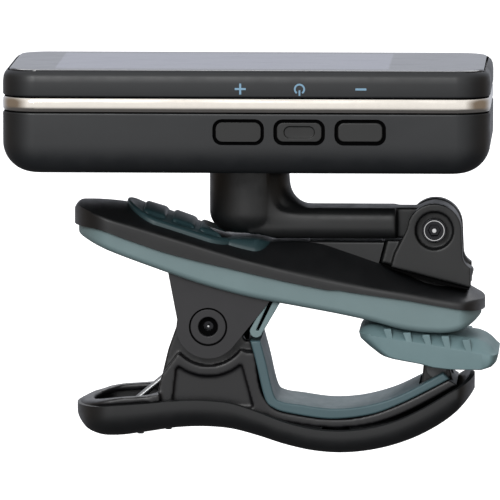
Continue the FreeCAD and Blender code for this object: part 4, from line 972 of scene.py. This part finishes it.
def build_spring():
    """Torsion spring with its legs laid along the two handles."""
    low, high = box_mm("torsion_spring")
    wire = 1.0
    radius = 2.1
    turns = 4.2236
    lower_leg = 19.3
    upper_leg = 7.2
    half = (high.y - low.y - wire) / 2
    start = math.radians(-50.0)
    line = []
    count = int(turns * 28)
    for k in range(count + 1):
        angle = start + 2 * math.pi * turns * k / count
        line.append(Vector((PIVOT.x + radius * math.cos(angle), half - 2 * half * k / count,
                            PIVOT.z + radius * math.sin(angle))))
    first = line[0] + lower_leg * Vector((math.sin(start), 0, -math.cos(start)))
    end = start + 2 * math.pi * turns
    last = line[-1] + upper_leg * Vector((-math.sin(end), 0, math.cos(end)))
    path = [line[0] + (first - line[0]) * k / 12 for k in range(12, 0, -1)] + line
    path += [line[-1] + (last - line[-1]) * k / 12 for k in range(1, 13)]
    rings = []
    for index, point in enumerate(path):
        ahead = path[min(index + 1, len(path) - 1)] - path[max(index - 1, 0)]
        side = ahead.cross(Vector((0, 1, 0))).normalized()
        up = side.cross(ahead).normalized()
        rings.append([point + wire / 2 * (side * math.cos(math.pi * k / 6)
                                          + up * math.sin(math.pi * k / 6)) for k in range(12)])
    spring = made("handle_spring", skin(rings))
    dress(spring, "spring_steel")
    shade(spring, 60.0)
    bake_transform(spring)
    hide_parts("torsion_spring")


# ---------------------------------------------------------------- jaw pad
# x, z round the top and the bottom of the jaw pad
PAD_TOP = [
    (-10.0, -0.2), (-9.78, 0.2), (-9.3, 0.6), (-8.6, 0.95), (-7.8, 1.05), (-6.5, 0.9),
    (-3.9, 0.3), (0.5, -0.2), (3.4, -0.35), (5.2, -0.7), (6.1, -0.85), (7.5, -1.05), (8.6, -1.5),
    (9.4, -2.1), (10.0, -2.75), (10.4, -3.1), (10.5, -3.2),
]
PAD_LOW = [
    (-10.0, -0.2), (-9.79, -0.99), (-8.44, -2.22), (-6.76, -3.5), (-5.6, -3.85), (-1.2, -4.58),
    (0.6, -5.05), (3.6, -5.35), (8.4, -5.4), (9.6, -5.05), (10.21, -4.4), (10.5, -3.2),
]
PAD_HALF = 9.45


def table(points, x):
    """Height read from a table by straight interpolation."""
    return float(np.interp(x, [point[0] for point in points], [point[1] for point in points]))


def build_jaw_pad():
    """Pad with chamfered long edges and slanting ribs across the chamfers."""
    left, right = PAD_TOP[0], PAD_TOP[-1]
    middle = (left[0] + right[0]) / 2
    reach = (right[0] - left[0]) / 2
    count = 60
    stations = [middle - reach * math.cos(math.pi * k / count) for k in range(count + 1)]

    def waist(x):
        """Line on the near face where the chamfer starts."""
        return left[1] + (right[1] - left[1]) * (x - left[0]) / (right[0] - left[0])

    def section(y, share, inset):
        """Outline at y; share is how much of the chamfer has been climbed."""
        turn = 1 - math.sqrt(1 - min(max((abs(y) - 5.5) / 4.3, 0.0), 1.0) ** 2)

        def squeezed(x):
            ease_in = 2.6 * turn * (right[0] - x) + 1.4 * turn * (left[0] - x)
            return x + ease_in / (right[0] - left[0]) + (middle - x) * inset / reach

        over = [(squeezed(x), y, waist(x) + (table(PAD_TOP, x) - waist(x)) * share - inset * 0.5)
                for x in stations]
        under = [(squeezed(x), y, table(PAD_LOW, x) + inset * 0.8)
                 for x in reversed(stations[1:-1])]
        return over + under

    sections = [(PAD_HALF, 0.0, 0.25), (PAD_HALF - 0.12, 0.03, 0.08), (PAD_HALF - 0.4, 0.15, 0.0),
                (PAD_HALF - 1.3, 0.52, 0.0), (PAD_HALF - 2.4, 0.93, 0.0),
                (PAD_HALF - 2.9, 1.0, 0.0), (5.5, 1.0, 0.0), (3.0, 1.0, 0.0)]
    rings = [section(-y, share, inset) for y, share, inset in sections]
    rings += [section(y, share, inset) for y, share, inset in reversed(sections)]
    pad = made("grip_pad", skin(rings, paired=True))
    for x in (-5.6, -2.75, 0.05, 2.85, 5.9):
        high = table(PAD_TOP, x)
        low = waist(x) - 0.35
        for side in (-1, 1):
            ends = sorted((side * (PAD_HALF - 0.1), side * (PAD_HALF - 3.2)))
            outline = fillet([(x - 0.75, high - 0.1), (x - 0.1, low), (x + 0.75, low),
                              (x + 0.4, high - 0.1)], 0.15, 3)
            combine(pad, prism("rib", outline, ends[0], ends[1], 0.12), "UNION")
    tray_low, tray_high = box_mm("pad_carrier")
    tray = block("tray", (tray_high.x - tray_low.x, tray_high.y - tray_low.y, 0.8), 0.05,
                 ((tray_low.x + tray_high.x) / 2, 0, tray_high.z - 0.4))
    combine(pad, tray, "DIFFERENCE")
    socket = block("socket", (9.8, 11.2, 8.0), 0.1, (1.3, 0, -7.15))
    combine(pad, socket, "DIFFERENCE")
    present(pad, "pad", "jaw_pad", sharp=50.0)


def mark(name, strokes):
    """Printed mark on the front case, from thin plates."""
    for index, outline in enumerate(strokes):
        plate = prism("%s_%d" % (name, index), outline, -HALF_Y - 0.012, -HALF_Y + 0.05)
        extra(plate, "head", "print_blue")


def arc_band(x, z, radius, thick, first, last):
    """Outline of part of a ring."""
    steps = 20
    outer = []
    inner = []
    for k in range(steps + 1):
        angle = math.radians(first + (last - first) * k / steps)
        outer.append((x + (radius + thick / 2) * math.cos(angle),
                      z + (radius + thick / 2) * math.sin(angle)))
        inner.append((x + (radius - thick / 2) * math.cos(angle),
                      z + (radius - thick / 2) * math.sin(angle)))
    return outer + list(reversed(inner))


def build_marks():
    """Plus, power and minus signs above the three buttons."""
    z = HEAD_LOW.z + 1.45
    centres = (-26.9, -18.3, -9.4)
    x = centres[0]
    mark("plus_sign", [bar(x, z, 1.6, 0.3), bar(x, z + 0.475, 0.3, 0.65),
                       bar(x, z - 0.475, 0.3, 0.65)])
    x = centres[1]
    mark("power_sign", [arc_band(x, z, 0.68, 0.26, 305, 595), bar(x, z - 0.55, 0.26, 0.8)])
    mark("minus_sign", [bar(centres[2], z, 1.6, 0.3)])


def build_moulded():
    """Frame with a rounded handle rim, arm with a blended corner, and turret."""
    moulded_copy("lower_frame", "lower_jaw", 0.22, 3, lambda x, z: x < -40.5 and z > -11.8, 24,
                 lambda x, z: 0.75 * ease(-45.0, -52.5, x) * ease(-12.2, -10.5, z))
    moulded_copy("swing_arm", "arm", 0.24, 6, lambda x, z: -23.4 < x < -17.5 and z > 15.2, 40)
    moulded_copy("hinge_turret", "turret", 0.17, 4)


build_moulded()
build_front()
build_rear()
build_gaps()
build_details()
build_upper_shell()
build_upper_liner()
build_finger_pad()
build_lower_shell()
build_lower_liner()
build_spring()
build_jaw_pad()
build_marks()


# ---------------------------------------------------------------- stage, light and camera
AZIMUTH = math.radians(2.44)
ELEVATION = math.radians(6.0)
DISTANCE = 1.4
CENTRE = Vector((-0.0262, 0.0, 0.01115))
LENS = 685.8


def build_camera():
    """Long lens, almost level with the clip."""
    back = Vector((math.sin(AZIMUTH) * math.cos(ELEVATION),
                   -math.cos(AZIMUTH) * math.cos(ELEVATION), math.sin(ELEVATION)))
    data = bpy.data.cameras.new("camera")
    data.sensor_width = 36.0
    data.lens = LENS
    data.clip_start = 0.1
    data.clip_end = 20.0
    camera = bpy.data.objects.new("camera", data)
    camera.location = CENTRE + DISTANCE * back
    camera.rotation_euler = back.to_track_quat("Z", "Y").to_euler()
    bpy.context.scene.collection.objects.link(camera)
    bpy.context.scene.camera = camera


def area_light(name, place, target, size, power):
    """White rectangular light aimed at a point."""
    data = bpy.data.lights.new(name, "AREA")
    data.shape = "RECTANGLE"
    data.size, data.size_y = size
    data.energy = power
    light = bpy.data.objects.new(name, data)
    light.location = place
    light.rotation_euler = (Vector(place) - Vector(target)).to_track_quat("Z", "Y").to_euler()
    bpy.context.scene.collection.objects.link(light)


def build_surround():
    """Soft studio room: bright ahead and above, dim and warm to the sides, dark below."""
    world = bpy.data.worlds.new("studio")
    world.use_nodes = True
    tree = world.node_tree
    background = tree.nodes["Background"]
    place = tree.nodes.new("ShaderNodeTexCoord")
    axes = tree.nodes.new("ShaderNodeSeparateXYZ")
    tree.links.new(place.outputs["Generated"], axes.inputs["Vector"])
    sideways = tree.nodes.new("ShaderNodeMath")
    sideways.operation = "ABSOLUTE"
    tree.links.new(axes.outputs["X"], sideways.inputs[0])
    side = spread(tree, sideways.outputs["Value"], 0.0, 1.0, 0.50, 0.92)
    back = spread(tree, axes.outputs["Y"], 0.0, 1.0, -0.10, 0.50)
    under = spread(tree, axes.outputs["Z"], 1.0, 0.0, -0.45, -0.12)
    ahead = mixed(tree, back, (1.08, 1.08, 1.08), (0.56, 0.58, 0.64))
    walls = mixed(tree, side, ahead, (0.24, 0.195, 0.155))
    room = mixed(tree, under, walls, (0.10, 0.10, 0.105))
    path = tree.nodes.new("ShaderNodeLightPath")
    seen = mixed(tree, path.outputs["Is Camera Ray"], room, (1.0, 1.0, 1.0))
    tree.links.new(seen, background.inputs["Color"])
    bpy.context.scene.world = world


def build_stage():
    """Pale floor a little below the clip, which doesn't colour the clip's underside."""
    low = CAD_BOX[0][2] - 0.030
    mesh = bpy.data.meshes.new("floor")
    side = 6.0
    mesh.from_pydata([(-side, -side, low), (side, -side, low), (side, side, low),
                      (-side, side, low)], [], [(0, 1, 2, 3)])
    floor = bpy.data.objects.new("floor", mesh)
    bpy.context.scene.collection.objects.link(floor)
    material, _, principled = shader("floor")
    principled.inputs["Base Color"].default_value = (0.9, 0.9, 0.9, 1)
    principled.inputs["Roughness"].default_value = 0.9
    principled.inputs["Emission Color"].default_value = (1.0, 1.0, 1.0, 1)
    principled.inputs["Emission Strength"].default_value = 0.55
    floor.data.materials.append(material)
    floor.visible_diffuse = False
    floor.visible_glossy = False
    area_light("key", (-0.25, -0.80, 0.42), CENTRE, (0.18, 0.40), 3.5)
    area_light("rim", (0.0, 0.7, 0.6), CENTRE, (0.6, 0.3), 2.0)


bpy.context.scene.view_settings.view_transform = "Standard"
build_surround()
build_camera()
build_stage()
